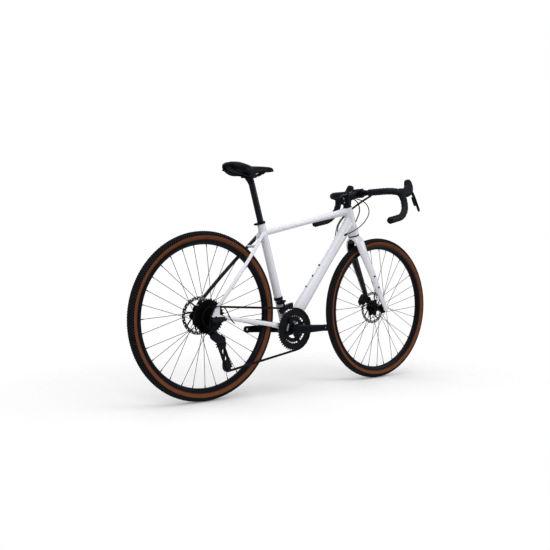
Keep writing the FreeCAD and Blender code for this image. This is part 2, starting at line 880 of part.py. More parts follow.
def chain_point(link):
    """Place of a chain pin, counted in links along the run."""
    link = link % chain_links
    for links, kind, data in chain_run:
        if link <= links or (links, kind, data) == chain_run[-1]:
            if kind == "arc":
                centre, teeth, way, place, first = data
                return polar(centre, pitch_radius(teeth), first + way * link * 2 * math.pi / teeth, place)
            start, stop = data
            return start + (stop - start) * (link / links)
        link -= links


def tooth_turn(stop):
    """Angle of a gap between teeth, so that the chain's rollers lie in the gaps of this sprocket."""
    before = sum(p[0] for p in chain_run[: 2 * stop])
    centre, teeth, way, place, first = chain_run[2 * stop][2]
    return first + way * (math.ceil(before) - before) * 2 * math.pi / teeth


def chain():
    """Outer links with their pins and rollers, and pairs of inner plates that turn on the pins."""
    inner_low = chain_inner_width / 2
    outer_low = inner_low + chain_plate + chain_plate_gap
    outer_high = outer_low + chain_plate
    here, there = Vec(0, 0, 0), AHEAD * chain_pitch
    radius = chain_plate_height / 2
    link = None
    for side in SIDES:
        low, high = sorted((side * outer_low, side * outer_high))
        bar = tongue(here, radius, there, radius, low, high)
        link = bar if link is None else link.fuse(bar)
    for p in (here, there):
        pin = cylinder(p - ACROSS * outer_high, p + ACROSS * outer_high, chain_pin_diameter)
        wide = inner_low - fit_gap
        link = link.fuse(pin).fuse(cylinder(p - ACROSS * wide, p + ACROSS * wide, roller_diameter))
    link = link.removeSplitter()
    plates = []
    for side in SIDES:
        low, high = sorted((side * inner_low, side * (inner_low + chain_plate)))
        bar = tongue(here, radius, there, radius, low, high)
        for p in (here, there):
            wide = chain_pin_diameter + 4 * chain_plate_gap
            bar = bar.cut(cylinder(p - ACROSS * outer_high, p + ACROSS * outer_high, wide))
        plates.append(bar)
    pieces = []
    for i in range(chain_links):
        p, q = chain_point(i), chain_point(i + 1)
        along = unit(q - p)
        side = unit(UP.cross(along)) if abs(along.x) > abs(along.z) else unit(ACROSS - along * ACROSS.dot(along))
        if side.y < 0:
            side = side * -1
        up = along.cross(side)
        spot = FreeCAD.Placement(p, FreeCAD.Rotation(along, side, up, "XYZ"))
        for solid in plates if i % 2 else [link]:
            copy = solid.copy()
            copy.Placement = spot
            pieces.append(copy)
    return group(pieces)


def sprocket(centre, teeth, gap_turn, place, thickness, bore, holes=()):
    """Toothed disc whose tooth gaps stand where the chain's rollers are."""
    low = place - thickness / 2
    pitch = pitch_radius(teeth)
    levels = [(-tooth_root, tooth_root_share), (0, tooth_pitch_share), (tooth_height, tooth_tip_share)]
    points = []
    for i in range(teeth):
        middle = gap_turn + (i + 0.5) * 2 * math.pi / teeth
        flank = []
        for rise, share in levels:
            flank.append((pitch + rise, share * chain_pitch / pitch))
        for radius, half in flank:
            points.append(polar(centre, radius, middle - half, low))
        for radius, half in reversed(flank):
            points.append(polar(centre, radius, middle + half, low))
    wires = [Part.makePolygon(points + points[:1]), circle_wire(centre + ACROSS * low, bore, ACROSS)]
    for spot, diameter in holes:
        wires.append(circle_wire(spot + ACROSS * (low - spot.y), diameter, ACROSS))
    return Part.Face(wires, "Part::FaceMakerBullseye").extrude(ACROSS * thickness)


def cassette():
    """Sprockets on the freewheel body, which runs on the hub's pin."""
    start = -(rear_flange_right + flange_thickness / 2 + hub_cap_length / 4 + side_gap)
    stop = start - freehub_length
    body = collar(rear_axle + ACROSS * start, rear_axle + ACROSS * stop, freehub_diameter,
                  freehub_pin_diameter + 2 * fit_gap)
    nut = collar(rear_axle + ACROSS * stop, rear_axle + ACROSS * (stop - lock_nut_length), lock_nut_diameter,
                 freehub_pin_diameter + 2 * fit_gap)
    pieces = [body.fuse(nut).removeSplitter()]
    bore = freehub_diameter + 2 * fit_gap
    for i, teeth in enumerate(cog_teeth):
        place = -(first_cog_place - cog_spacing * i)
        small = pitch_radius(teeth) * 2 - 2 * tooth_root < bore + tooth_root
        holes = []
        if teeth > cog_hole_teeth:
            radius = (bore / 2 + pitch_radius(teeth)) / 2
            for k in range(cog_hole_count):
                holes.append((polar(rear_axle, radius, 2 * math.pi * k / cog_hole_count), radius * 2 * cog_hole_share))
        turn = tooth_turn(3) if i == chain_cog else i
        hole = freehub_pin_diameter + 2 * fit_gap if small else bore
        cog = sprocket(rear_axle, teeth, turn, place, cog_thickness, hole, holes)
        pieces.append(cog)
    body = pieces[0]
    smalls = [c for c in pieces[1:] if c.BoundBox.ZLength < bore + 4 * tooth_root]
    for cog in smalls:
        body = body.cut(cog)
    return group(body.Solids + pieces[1:])


# cranks
def crank_arm(side, turn):
    """Tapered arm from the boss to the pedal eye, with an open pedal thread."""
    way = AHEAD * math.cos(turn) + UP * math.sin(turn)
    lift = way.cross(ACROSS) * -1
    eye = bb + way * crank_length
    root = bb + ACROSS * (side * crank_root_place)
    tip = eye + ACROSS * (side * crank_end_place)
    line = tip - root
    wires = []
    for share, swell in zip(crank_place_shares, crank_swell_shares):
        high = crank_neck_height + (crank_root_height - crank_neck_height) * swell
        thick = crank_neck_thickness + (crank_root_thickness - crank_neck_thickness) * swell
        wires.append(oval(root + line * share, ACROSS, lift, thick, high, crank_power_share))
    half = crank_end_thickness / 2
    inner = eye + ACROSS * (side * (crank_end_place - half))
    outer = eye + ACROSS * (side * (crank_end_place + half))
    reach = ACROSS * (side * overrun)
    arm = loft(wires).fuse(cylinder(inner, outer, crank_end_diameter))
    return arm, cylinder(inner - reach, outer + reach, pedal_hole_diameter)


cup_outer = shell_width / 2 + cup_flange
boss_inner = cup_outer + rest_gap


def crank_right():
    """Right arm with its four-armed spider. The spindle is on the left arm and passes through."""
    turn = math.radians(crank_turn)
    arm, eye = crank_arm(RIGHT, turn)
    boss = cylinder(bb - ACROSS * boss_inner, bb - ACROSS * crank_boss_outer, crank_boss_diameter)
    high = -(small_ring_place + ring_thickness / 2)
    low = -(ring_place - ring_thickness / 2)
    body = arm.fuse(boss)
    for i in range(spider_arms):
        angle = math.radians(spider_turn) + 2 * math.pi * i / spider_arms
        tip = polar(bb, spider_reach - spider_tip_width / 2, angle)
        body = body.fuse(tongue(bb, spider_root_width / 2, tip, spider_tip_width / 2, low, high))
    reach = bb - ACROSS * (crank_boss_outer + overrun)
    bore = cylinder(bb - ACROSS * (boss_inner - overrun), reach, spindle_diameter + 2 * fit_gap)
    return body.cut(bore).cut(eye).removeSplitter()


def crank_left():
    """Left arm and the hollow spindle that runs through the bottom bracket to the right arm."""
    turn = math.radians(crank_turn + 180)
    arm, eye = crank_arm(LEFT, turn)
    boss = cylinder(bb + ACROSS * boss_inner, bb + ACROSS * crank_boss_outer, crank_boss_diameter)
    spindle = cylinder(bb + ACROSS * boss_inner, bb - ACROSS * crank_boss_outer, spindle_diameter)
    cap = cylinder(bb - ACROSS * crank_boss_outer, bb - ACROSS * (crank_boss_outer + crank_cap_length),
                   crank_cap_diameter)
    body = arm.fuse(boss).cut(eye).removeSplitter()
    return group(body.Solids + [spindle, cap])


def chainrings():
    """Both rings and the bolts that hold them to the spider."""
    turns = [math.radians(spider_turn) + 2 * math.pi * i / spider_arms for i in range(spider_arms)]
    big = sprocket(bb, ring_teeth, tooth_turn(0), -ring_place, ring_thickness, ring_bore_diameter)
    small = sprocket(bb, small_ring_teeth, 0, -small_ring_place, ring_thickness, small_ring_bore_diameter)
    pieces = []
    for circle, ring_disc, place, side in (
        (ring_bolt_circle, big, ring_place, RIGHT),
        (small_bolt_circle, small, small_ring_place, LEFT),
    ):
        face = -place + side * ring_thickness / 2
        back = -place - side * ring_thickness / 2
        for turn in turns:
            eye = polar(bb, circle / 2, turn)
            root = polar(bb, ring_disc.BoundBox.ZLength / 2 - chain_pitch * 1.25, turn)
            low, high = sorted((face, back))
            wide = ring_bolt_diameter * 0.7
            ring_disc = ring_disc.fuse(tongue(eye, wide, root, wide, low, high))
            eye = eye + ACROSS * face
            pieces.append(cylinder(eye, eye + ACROSS * (side * ring_bolt_head), ring_bolt_diameter))
        pieces.append(ring_disc.removeSplitter())
    return group(pieces)


# frame tubes
head_low, head_high = on_head(lower_cover), on_head(head_top)
head_outer = cone(head_low, head_high, head_lower_diameter, head_upper_diameter)
shell_left, shell_right = bb + ACROSS * (shell_width / 2), bb - ACROSS * (shell_width / 2)
shell_outer = cylinder(shell_right, shell_left, shell_diameter)
seat_outer = cylinder(on_seat(0), on_seat(seat_tube_length), seat_tube_diameter)
top_start, top_stop = on_seat(top_tube_on_seat), on_head(top_tube_on_head)
top_widths = (top_tube_seat_width, top_tube_mid_width, top_tube_mid_width, top_tube_head_width, top_tube_head_width)
top_heights = (top_tube_seat_height, top_tube_mid_height, top_tube_mid_height,
               (top_tube_mid_height + top_tube_head_height) / 2, top_tube_head_height)
down_stop = on_head(down_tube_on_head)
down_widths = (down_tube_base_width, down_tube_low_width, down_tube_mid_width, down_tube_mid_width,
               down_tube_head_width)
down_heights = (down_tube_base_height, down_tube_low_height, down_tube_mid_height,
                (down_tube_mid_height * 2 + down_tube_head_height) / 3, down_tube_head_height)


def thinner(sizes):
    return [s - 2 * tube_wall for s in sizes]


top_outer = straight_loft(top_start, top_stop, top_tube_shares, top_widths, top_heights)
down_outer = straight_loft(bb, down_stop, down_tube_shares, down_widths, down_heights)
down_ahead = unit(down_stop - bb)
down_up = unit(down_ahead.cross(ACROSS))


def head_tube():
    reach = head_axis * overrun
    bore = cone(head_low, head_high, head_lower_diameter - 2 * head_wall, head_upper_diameter - 2 * head_wall)
    low = cylinder(head_low - reach, on_head(lower_cover + bearing_depth), lower_bearing_diameter)
    high = cylinder(on_head(head_top - bearing_depth), head_high + reach, upper_bearing_diameter)
    return head_outer.cut(bore).cut(low).cut(high)


def top_tube():
    room = straight_loft(top_start, top_stop, top_tube_shares, thinner(top_widths), thinner(top_heights))
    roof = cylinder(head_high, on_head(head_top + top_tube_head_height), head_upper_diameter * 2)
    return top_outer.cut(room).cut(head_outer).cut(roof).cut(seat_outer)


def down_tube():
    room = straight_loft(bb, down_stop, down_tube_shares, thinner(down_widths), thinner(down_heights))
    return down_outer.cut(room).cut(head_outer).cut(shell_outer).cut(top_outer)


def seat_tube():
    bore = cylinder(on_seat(-overrun), on_seat(seat_tube_length + overrun), seatpost_diameter + 2 * fit_gap)
    return seat_outer.cut(bore).cut(shell_outer).cut(down_outer)


def bottom_bracket_shell():
    return collar(shell_right, shell_left, shell_diameter, cup_sleeve_diameter + 2 * fit_gap)


def bottom_bracket_cups():
    cups = []
    for side in SIDES:
        face = bb + ACROSS * (side * shell_width / 2)
        outer = bb + ACROSS * (side * cup_outer)
        inner = bb + ACROSS * (side * (shell_width / 2 - cup_depth))
        bore = spindle_diameter + 2 * fit_gap
        flange = collar(face, outer, cup_diameter, bore)
        cups.append(flange.fuse(collar(inner, face, cup_sleeve_diameter, bore)).removeSplitter())
    return group(cups)


def dropout(side):
    """End plate that joins the stays round the axle. The right one carries the derailleur hanger."""
    low, high = sorted((side * dropout_inner, side * dropout_outer))
    stay = rear_axle + unit(bb - rear_axle) * dropout_stay_reach
    seat = rear_axle + AHEAD * seatstay_end_forward + UP * dropout_seat_reach
    plate = tongue(rear_axle, dropout_radius, stay, dropout_stay_radius, low, high)
    plate = plate.fuse(tongue(rear_axle, dropout_radius, seat, dropout_stay_radius, low, high))
    reach = ACROSS * (side * overrun)
    if side == RIGHT:
        plate = plate.fuse(tongue(rear_axle, dropout_radius, hanger, hanger_radius, low, high))
        eye = hanger + ACROSS * (side * dropout_inner)
        bolt = hanger_bolt_diameter + 2 * fit_gap
        plate = plate.cut(cylinder(eye - reach, eye + reach * 3, bolt))
    eye = rear_axle + ACROSS * (side * dropout_inner)
    return plate.cut(cylinder(eye - reach, eye + reach * 3, hub_bore())).removeSplitter()


def chainstay(side):
    stop = rear_axle + unit(bb - rear_axle) * dropout_stay_reach
    line = stop - bb
    places = (chainstay_root_place, chainstay_tyre_place, chainstay_mid_place, chainstay_end_place)
    points = []
    for share, place in zip(stay_rise_shares, places):
        points.append(bb + line * share + UP * chainstay_lift + ACROSS * (side * place))
    heights = (chainstay_root_height, chainstay_root_height * 0.8, chainstay_mid_height, chainstay_end_height)
    widths = (chainstay_width, chainstay_width, chainstay_width, chainstay_end_width)
    return path_loft(points, widths, heights, 0.8)


def seatstay_points(side):
    """Straight run seen from the side. Seen from behind it bows outwards round the tyre."""
    top = on_seat(seatstay_on_seat)
    end = rear_axle + AHEAD * seatstay_end_forward + UP * seatstay_end_rise
    points = []
    for t in seatstay_shares:
        rest = 1 - t
        place = rest * rest * seatstay_root_place + 2 * rest * t * seatstay_bow_place + t * t * seatstay_end_place
        points.append(top + (end - top) * t + ACROSS * (side * place))
    return points


def seatstay(side):
    points = seatstay_points(side)
    last = len(points) - 1
    widths = [seatstay_width] * last + [seatstay_end_width]
    heights = [seatstay_root_height] + [seatstay_height] * last
    return path_loft(points, widths, heights, 0.9)


def chainstays():
    pieces = []
    for side in SIDES:
        face = bb + ACROSS * (side * shell_width / 2)
        cups = cylinder(face, bb + ACROSS * (side * crank_boss_outer), shell_diameter)
        stay = chainstay(side).cut(shell_outer).cut(cups).cut(seat_outer).cut(down_outer).cut(dropout(side))
        pieces.append(max(stay.Solids, key=lambda s: s.Volume))
    return group(pieces)


def seatstays():
    pieces = []
    for side in SIDES:
        stay = seatstay(side).cut(seat_outer).cut(top_outer).cut(dropout(side))
        pieces.append(max(stay.Solids, key=lambda s: s.Volume))
    both = [seatstay_points(side) for side in SIDES]
    ends = [p[1] + (p[2] - p[1]) * bridge_share for p in both]
    bar = cylinder(ends[0], ends[1], bridge_diameter)
    for side in SIDES:
        bar = bar.cut(seatstay(side))
    return group(pieces + [max(bar.Solids, key=lambda s: s.Volume)])


def dropouts():
    return group([dropout(side) for side in SIDES])


def headset_cups():
    """Bearings in both ends of the head tube. The lower one shows as a dark ring over the crown."""
    bore = steerer_base_diameter + 2 * fit_gap
    ring = collar(on_head(rest_gap), head_low, head_lower_diameter, bore)
    sleeve = collar(head_low, on_head(lower_cover + bearing_depth), lower_bearing_diameter, bore)
    low = ring.fuse(sleeve).removeSplitter()
    bore = steerer_diameter + 2 * fit_gap
    high = collar(on_head(head_top - bearing_depth), head_high, upper_bearing_diameter, bore)
    return group([low, high])


def seat_clamp():
    """Split collar round the top of the seat tube, closed by a bolt behind it."""
    top = seat_tube_length + clamp_lift
    outer = seat_tube_diameter + 2 * clamp_wall
    band = collar(on_seat(top - clamp_height), on_seat(seat_tube_length), outer, seat_tube_diameter + 2 * fit_gap)
    lip = collar(on_seat(seat_tube_length), on_seat(top), outer, seatpost_diameter + 2 * rest_gap)
    middle = on_seat(top - clamp_height / 2)
    back = seat_ahead * -1
    ear = middle + back * (seat_tube_diameter / 2 + clamp_ear_reach / 2)
    ways = (back, ACROSS, seat_axis)
    body = band.fuse(lip).fuse(block(ear, ways, (clamp_ear_reach, clamp_ear_width, clamp_height)))
    inside = cylinder(on_seat(top - clamp_height - overrun), on_seat(seat_tube_length), seat_tube_diameter + 2 * fit_gap)
    body = body.cut(inside)
    slit = block(middle + back * seat_tube_diameter / 2, ways, (seat_tube_diameter, clamp_slit, clamp_height * 2))
    screw = middle + back * (seat_tube_diameter / 2 + clamp_wall + clamp_ear_reach / 2)
    half = ACROSS * (clamp_ear_width / 2)
    hole = cylinder(screw - half * 2, screw + half * 2, clamp_bolt_diameter + 2 * fit_gap)
    body = body.cut(slit).cut(hole).removeSplitter()
    bolt = cylinder(screw - half, screw + half, clamp_bolt_diameter)
    for side in SIDES:
        face = screw + half * side
        bolt = bolt.fuse(cylinder(face, face + ACROSS * (side * clamp_bolt_diameter), clamp_bolt_head))
    return group(body.Solids + [bolt])


# saddle and seatpost
def seatpost():
    low, high = on_seat(seatpost_top - seatpost_length), on_seat(seatpost_top)
    return collar(low, high, seatpost_diameter, seatpost_diameter - 2 * seatpost_wall)


def rail_points(side):
    half = rail_spread / 2
    straight = (half, 0)
    table = [
        (rail_nose_x, rail_nose_spread / 2, rail_nose_rise),
        (rail_clamp_front, *straight),
        (rail_clamp_back, *straight),
        (rail_tail_x, rail_tail_spread / 2, rail_tail_rise),
    ]
    return [Vec(-x, side * y, rail_height + z) for x, y, z in table]


def saddle_rails():
    return group([swept(rail_points(side), rail_diameter) for side in SIDES])


def saddle_cradle():
    """Head of the post: a lower cradle and an upper plate that clamp both rails."""
    top = on_seat(seatpost_top)
    rail = rail_height
    ways = (AHEAD, ACROSS, UP)
    middle = Vec(top.x - cradle_back, 0, rail)
    wide = rail_spread + rail_diameter * 1.6
    lower = block(middle - UP * cradle_height / 2, ways, (cradle_length, wide, cradle_height))
    upper = block(middle + UP * (cradle_height / 2 + side_gap), ways, (cradle_length * 0.8, wide, cradle_height))
    upper = upper.cut(block(middle, ways, (wide * 2, wide * 2, 2 * side_gap)))
    neck_top = Vec(top.x - cradle_back, 0, rail - cradle_height / 2)
    neck = cone(top, neck_top, seatpost_diameter, cradle_width * 1.2)
    post = cylinder(on_seat(seatpost_top - cradle_length), top, seatpost_diameter)
    lower = lower.fuse(neck).cut(post)
    pieces = []
    rails = [swept(rail_points(side), rail_diameter + 2 * fit_gap) for side in SIDES]
    for piece in (lower, upper):
        pieces.append(piece.cut(group(rails)))
    bolts = []
    for way in (-1, 1):
        spot = middle + AHEAD * (way * cradle_length * 0.28)
        hole = cylinder(spot - UP * cradle_height, spot + UP * cradle_height * 2, cradle_bolt_diameter + 2 * fit_gap)
        pieces = [p.cut(hole) for p in pieces]
        bolts.append(cylinder(spot - UP * cradle_height, spot + UP * (cradle_height + side_gap), cradle_bolt_diameter))
    return group([s for p in pieces for s in p.Solids] + bolts)


def saddle_station(place, width, drop, skirt, under, channel):
    """Cross outline of the pad: crown, drawn-in sides, a channel on top and a hollow underneath."""
    half = width / 2
    top = saddle_top - drop
    edge = top - skirt
    x = -saddle_rear + place
    lip = half * saddle_lip_share
    brow = half * saddle_lip_share
    brow_z = top - skirt * 0.36
    groove = min(saddle_channel_width / 2, half * 0.3)
    crown = half * 0.58
    crown_z = top - skirt * 0.07

    def at(y, z):
        return Vec(x, y, z)

    edges = [Part.Arc(at(-lip, edge), at(0, top - under), at(lip, edge))]
    edges.append(Part.Arc(at(lip, edge), at(half, (edge + brow_z) / 2), at(brow, brow_z)))
    edges.append(Part.Arc(at(brow, brow_z), at(crown, crown_z), at(groove, top)))
    edges.append(Part.Arc(at(groove, top), at(0, top - channel), at(-groove, top)))
    edges.append(Part.Arc(at(-groove, top), at(-crown, crown_z), at(-brow, brow_z)))
    edges.append(Part.Arc(at(-brow, brow_z), at(-half, (edge + brow_z) / 2), at(-lip, edge)))
    return Part.Wire([e.toShape() for e in edges])


def mixed(share, places, values):
    """Value at a share of the length, between the two nearest stations."""
    for a, b, u, v in zip(places, places[1:], values, values[1:]):
        if share <= b:
            return u + (v - u) * (share - a) / (b - a)
    return values[-1]


def saddle_pad():
    wires = []
    for i, share in enumerate(saddle_place_shares):
        width = saddle_width * saddle_width_shares[i]
        drop = saddle_skirt * saddle_drop_shares[i]
        skirt = saddle_skirt * saddle_skirt_shares[i]
        under = skirt * saddle_under_shares[i]
        channel = saddle_channel * saddle_channel_shares[i]
        wires.append(saddle_station(saddle_length * share, width, drop, skirt, under, channel))
    return loft(wires)


def shell_wire(share):
    """Cross outline of the shell, which follows the hollow under the pad at a small distance."""
    def value(shares):
        return mixed(share, saddle_place_shares, shares)

    half = saddle_width * value(saddle_width_shares) / 2
    skirt = saddle_skirt * value(saddle_skirt_shares)
    under = saddle_top - saddle_skirt * value(saddle_drop_shares) - skirt * value(saddle_under_shares)
    fall = skirt * (1 - value(saddle_under_shares))
    lip = half * saddle_lip_share
    round_radius = (lip * lip + fall * fall) / (2 * fall)
    reach = half * shell_width_share
    rim_fall = round_radius - math.sqrt(round_radius * round_radius - reach * reach)
    x = -saddle_rear + saddle_length * share
    roof = under - 2 * rest_gap
    low, high = Vec(x, -reach, roof - rim_fall), Vec(x, reach, roof - rim_fall)
    wall = UP * saddle_shell_wall
    edges = [Part.Arc(low, Vec(x, 0, roof), high), Part.LineSegment(high, high - wall)]
    edges += [Part.Arc(high - wall, Vec(x, 0, roof) - wall, low - wall), Part.LineSegment(low - wall, low)]
    return Part.Wire([e.toShape() for e in edges])


def saddle_shell():
    """Stiff shell under the pad, with the sockets that take the rail ends."""
    shell = loft([shell_wire(share) for share in shell_place_shares])
    pad = saddle_pad()
    sockets = []
    for side in SIDES:
        points = rail_points(side)
        for end, next_end in ((points[0], points[1]), (points[-1], points[-2])):
            along = unit(end - next_end)
            deep = end + along * (rail_socket * 1.6)
            socket = cylinder(end - along * rail_socket, deep, rail_diameter * 1.9)
            tip = cylinder(end - along * overrun * 4, end, rail_diameter + 2 * fit_gap)
            sockets.append(max(socket.cut(tip).cut(pad).Solids, key=lambda s: s.Volume))
    body = shell.multiFuse(sockets)
    for side in SIDES:
        points = rail_points(side)
        for end, next_end in ((points[0], points[1]), (points[-1], points[-2])):
            along = unit(end - next_end)
            body = body.cut(cylinder(end - along * overrun * 4, end, rail_diameter + 2 * fit_gap))
    return group(body.Solids)


# fork
def fork_crown():
    """Arched crown with the steerer tube standing on it."""
    wires = []
    shares = list(zip(crown_place_shares, crown_drop_shares, crown_turn_shares))
    both = [(LEFT, *s) for s in shares] + [(RIGHT, *s) for s in reversed(shares[:-1])]
    for side, place, drop, turn in both:
        centre = on_head(-blade_root_drop * drop) + ACROSS * (side * blade_root_place * place)
        angle = turn * math.pi / 2
        up = head_axis * math.cos(angle) + ACROSS * (side * math.sin(angle))
        thick = crown_height + (blade_root_width - crown_height) * turn
        deep = crown_depth + (blade_root_depth - crown_depth) * turn
        wires.append(oval(centre, head_ahead, up, deep, thick, 0.8))
    arch = loft(wires)
    race = cylinder(on_head(-crown_height / 2), on_head(0), crown_race_diameter)
    base = cone(on_head(0), on_head(steerer_taper), steerer_base_diameter, steerer_diameter)
    tube = cylinder(on_head(steerer_taper), on_head(stem_end - side_gap), steerer_diameter)
    return arch.fuse(race).fuse(base).fuse(tube).removeSplitter()


fork_end_inner = front_hub_width / 2 + side_gap
fork_end_middle = fork_end_inner + fork_end_thickness / 2


def blade_line(side):
    start = on_head(-blade_root_drop) + ACROSS * (side * blade_root_place)
    return start, front_axle + ACROSS * (side * fork_end_middle)


def fork_blade(side):
    start, stop = blade_line(side)
    line = stop - start
    along = unit(stop - start)
    deep = unit(ACROSS.cross(along)) * -1
    across = unit(along.cross(deep))
    mix = (blade_root_depth + blade_mid_depth) / 2
    depths = (blade_root_depth, mix, blade_mid_depth, blade_end_depth, blade_end_depth)
    widths = (blade_root_width, (blade_root_width + blade_mid_width) / 2, blade_mid_width, blade_end_width,
              blade_end_width)
    wires = []
    for i, share in enumerate(blade_shares):
        way = head_ahead if i == 0 else deep
        side_way = ACROSS if i == 0 else across
        wires.append(oval(start + line * share, way, side_way, depths[i], widths[i], 0.8))
    low, high = sorted((side * fork_end_inner, side * (fork_end_inner + fork_end_thickness)))
    eye = cylinder(front_axle + ACROSS * low, front_axle + ACROSS * high, fork_end_radius * 2)
    bore = cylinder(front_axle + ACROSS * (low - overrun), front_axle + ACROSS * (high + overrun), hub_bore())
    trim = cylinder(front_axle - ACROSS * fork_end_inner, front_axle + ACROSS * fork_end_inner, fork_end_radius * 4)
    outer = front_axle + ACROSS * (side * (fork_end_inner + fork_end_thickness))
    seat = cylinder(outer, outer + ACROSS * (side * overrun * 2), fork_end_radius * 2)
    return loft(wires).cut(trim).cut(seat).fuse(eye).cut(bore).removeSplitter()


def fork_blades():
    left = max(fork_blade(LEFT).cut(fork_crown()).Solids, key=lambda s: s.Volume)
    return group([mirrored(left), left])


def headset_spacers():
    bore = steerer_diameter + 2 * fit_gap
    reach = head_axis * overrun
    low, high = on_head(head_top + rest_gap), on_head(spacer_start)
    cover = cone(low, high, head_upper_diameter, spacer_diameter).cut(cylinder(low - reach, high + reach, bore))
    spacer = collar(high, on_head(stem_start), spacer_diameter, bore)
    cap = cylinder(on_head(stem_end), on_head(stem_end + top_cap_height), top_cap_diameter)
    return group([cover, spacer, cap])


def stem():
    """Stem with a clamp on the steerer, and a face plate that holds the handlebar."""
    reach = head_axis * overrun
    low, high = on_head(stem_start), on_head(stem_end)
    clamp = cylinder(low, high, stem_clamp_diameter)
    half = ACROSS * (stem_face_width / 2)
    barrel = cylinder(bar_centre - half, bar_centre + half, stem_face_diameter)
    line = bar_centre - on_head(stem_middle)
    wires = []
    for share in (0.0, 0.5, 1.0):
        wires.append(oval(on_head(stem_middle) + line * share, ACROSS, stem_up, stem_body_width, stem_body_height, 0.8))
    body = clamp.fuse(loft(wires)).fuse(barrel)
    body = body.cut(cylinder(low - reach, high + reach, steerer_diameter + 2 * fit_gap))
    body = body.cut(cylinder(bar_centre - half * 2, bar_centre + half * 2, bar_clamp_diameter + 2 * fit_gap))
    ways = (stem_ahead, ACROSS, stem_up)
    size = stem_face_diameter * 2
    front = block(bar_centre + stem_ahead * (size / 2), ways, (size, size, size))
    slit = block(bar_centre, ways, (stem_face_slit, size, size))
    plate = body.common(front).cut(slit)
    body = body.cut(front).cut(slit).removeSplitter()
    return group(body.Solids + plate.removeSplitter().Solids)


def drop_up(side):
    """Upward direction in the plane of one drop, which leans outwards at the bottom."""
    turn = math.radians(bar_flare)
    return UP * math.cos(turn) - ACROSS * (side * math.sin(turn))


def drop_across(side):
    return drop_up(side).cross(AHEAD)


def on_drop(side, ahead, rise, half=bar_hood_half):
    """Point in the plane of one drop, measured from the middle of the bar."""
    return bar_centre + AHEAD * ahead + drop_up(side) * rise + ACROSS * (side * half)


def bar_points(side):
    """Corners of the bar's route from its tops to the end of the drop."""
    points = []
    for ahead, fall, half in zip(bar_ahead_shares, bar_drop_shares, bar_half_shares):
        points.append(on_drop(side, bar_reach * ahead, -bar_drop * fall, bar_hood_half * half))
    return points


def handlebar():
    half = ACROSS * (bar_clamp_width / 2)
    body = cylinder(bar_centre - half, bar_centre + half, bar_clamp_diameter)
    for side in SIDES:
        start = bar_centre + half * side
        thin = start + ACROSS * (side * bar_taper)
        body = body.fuse(cone(start, thin, bar_clamp_diameter, bar_diameter))
        body = body.fuse(swept([start] + bar_points(side), bar_diameter))
    return body.removeSplitter()


def tape_points(side):
    return [bar_centre + ACROSS * (side * tape_start)] + bar_points(side)


def bar_tape():
    """Wrapped sleeve from the tops to the ends of the drops, open where the bar passes through."""
    pieces = []
    for side in SIDES:
        outer = swept(tape_points(side), bar_diameter + 2 * tape_thickness)
        inner = swept(tape_points(side), bar_diameter + 2 * fit_gap)
        pieces.append(max(outer.cut(inner).Solids, key=lambda s: s.Volume))
    return group(pieces)


def bar_end_plugs():
    plugs = []
    for side in SIDES:
        points = bar_points(side)
        end = points[-1]
        along = unit(end - points[-2])
        plugs.append(cone(end, end + along * plug_length, bar_diameter + 2 * tape_thickness, bar_diameter))
    return group(plugs)


# levers
def lever_pivot(side):
    return on_drop(side, lever_pivot_ahead, lever_pivot_rise)


def hood_solid(side):
    wires = []
    table = zip(hood_ahead_shares, hood_rise_shares, hood_tilt_shares, hood_depth_shares, hood_width_shares)
    for ahead, rise, tilt, deep, wide in table:
        centre = on_drop(side, hood_reach * ahead, hood_rise * rise)
        angle = tilt * math.pi / 2
        up = drop_up(side) * math.cos(angle) - AHEAD * math.sin(angle)
        wires.append(oval(centre, drop_across(side), up, hood_width * wide, hood_depth * deep, 0.8))
    return loft(wires)


def lever_hood(side):
    """Rubber hood over the lever body: it leaves the bar, swells and rises to a rounded horn."""
    hood = hood_solid(side)
    bar = swept(tape_points(side), bar_diameter + 2 * tape_thickness + 2 * fit_gap)
    pivot = lever_pivot(side)
    across, up = drop_across(side), drop_up(side)
    half = across * (lever_width / 2 + rest_gap)
    slot = cylinder(pivot - half, pivot + half, lever_boss_diameter + 2 * rest_gap)
    low = pivot - up * hood_depth + AHEAD * (hood_depth / 2 - lever_slot_reach)
    slot = slot.fuse(block(low, (AHEAD, across, up), (hood_depth, lever_width + 2 * rest_gap, hood_depth * 2)))
    body = max(hood.cut(bar).cut(slot).Solids, key=lambda s: s.Volume)
    pin = cylinder(pivot - half * 2, pivot + half * 2, lever_pin_diameter)
    return body.fuse(pin.common(hood)).removeSplitter()


def lever_hoods():
    return group([s for side in SIDES for s in lever_hood(side).Solids])


def lever_points(side):
    points = []
    for ahead, fall in zip(lever_ahead_shares, lever_drop_shares):
        points.append(on_drop(side, lever_pivot_ahead + lever_reach * ahead, lever_pivot_rise - lever_drop * fall))
    return points


def lever_blade(side, widths, depths):
    """Loft along the blade, with its width square to the plane of the drop."""
    points = lever_points(side)
    across = drop_across(side)
    wires = []
    for i, p in enumerate(points):
        along = unit(points[min(i + 1, len(points) - 1)] - points[max(i - 1, 0)])
        wires.append(oval(p, across, unit(along.cross(across)), widths[i], depths[i], 0.7))
    return loft(wires)


def brake_lever(side):
    """Blade that hangs from the hood and swings back towards the bar."""
    last = len(lever_drop_shares) - 1
    widths = [lever_width + (lever_tip_width - lever_width) * i / last for i in range(last + 1)]
    depths = [lever_thickness + (lever_tip_thickness - lever_thickness) * i / last for i in range(last + 1)]
    depths[-1] = depths[-1] / 2
    pivot = lever_pivot(side)
    half = drop_across(side) * (lever_width / 2)
    boss = cylinder(pivot - half, pivot + half, lever_boss_diameter)
    hole = cylinder(pivot - half * 2, pivot + half * 2, lever_pin_diameter + 2 * fit_gap)
    return lever_blade(side, widths, depths).fuse(boss).cut(hole).removeSplitter()


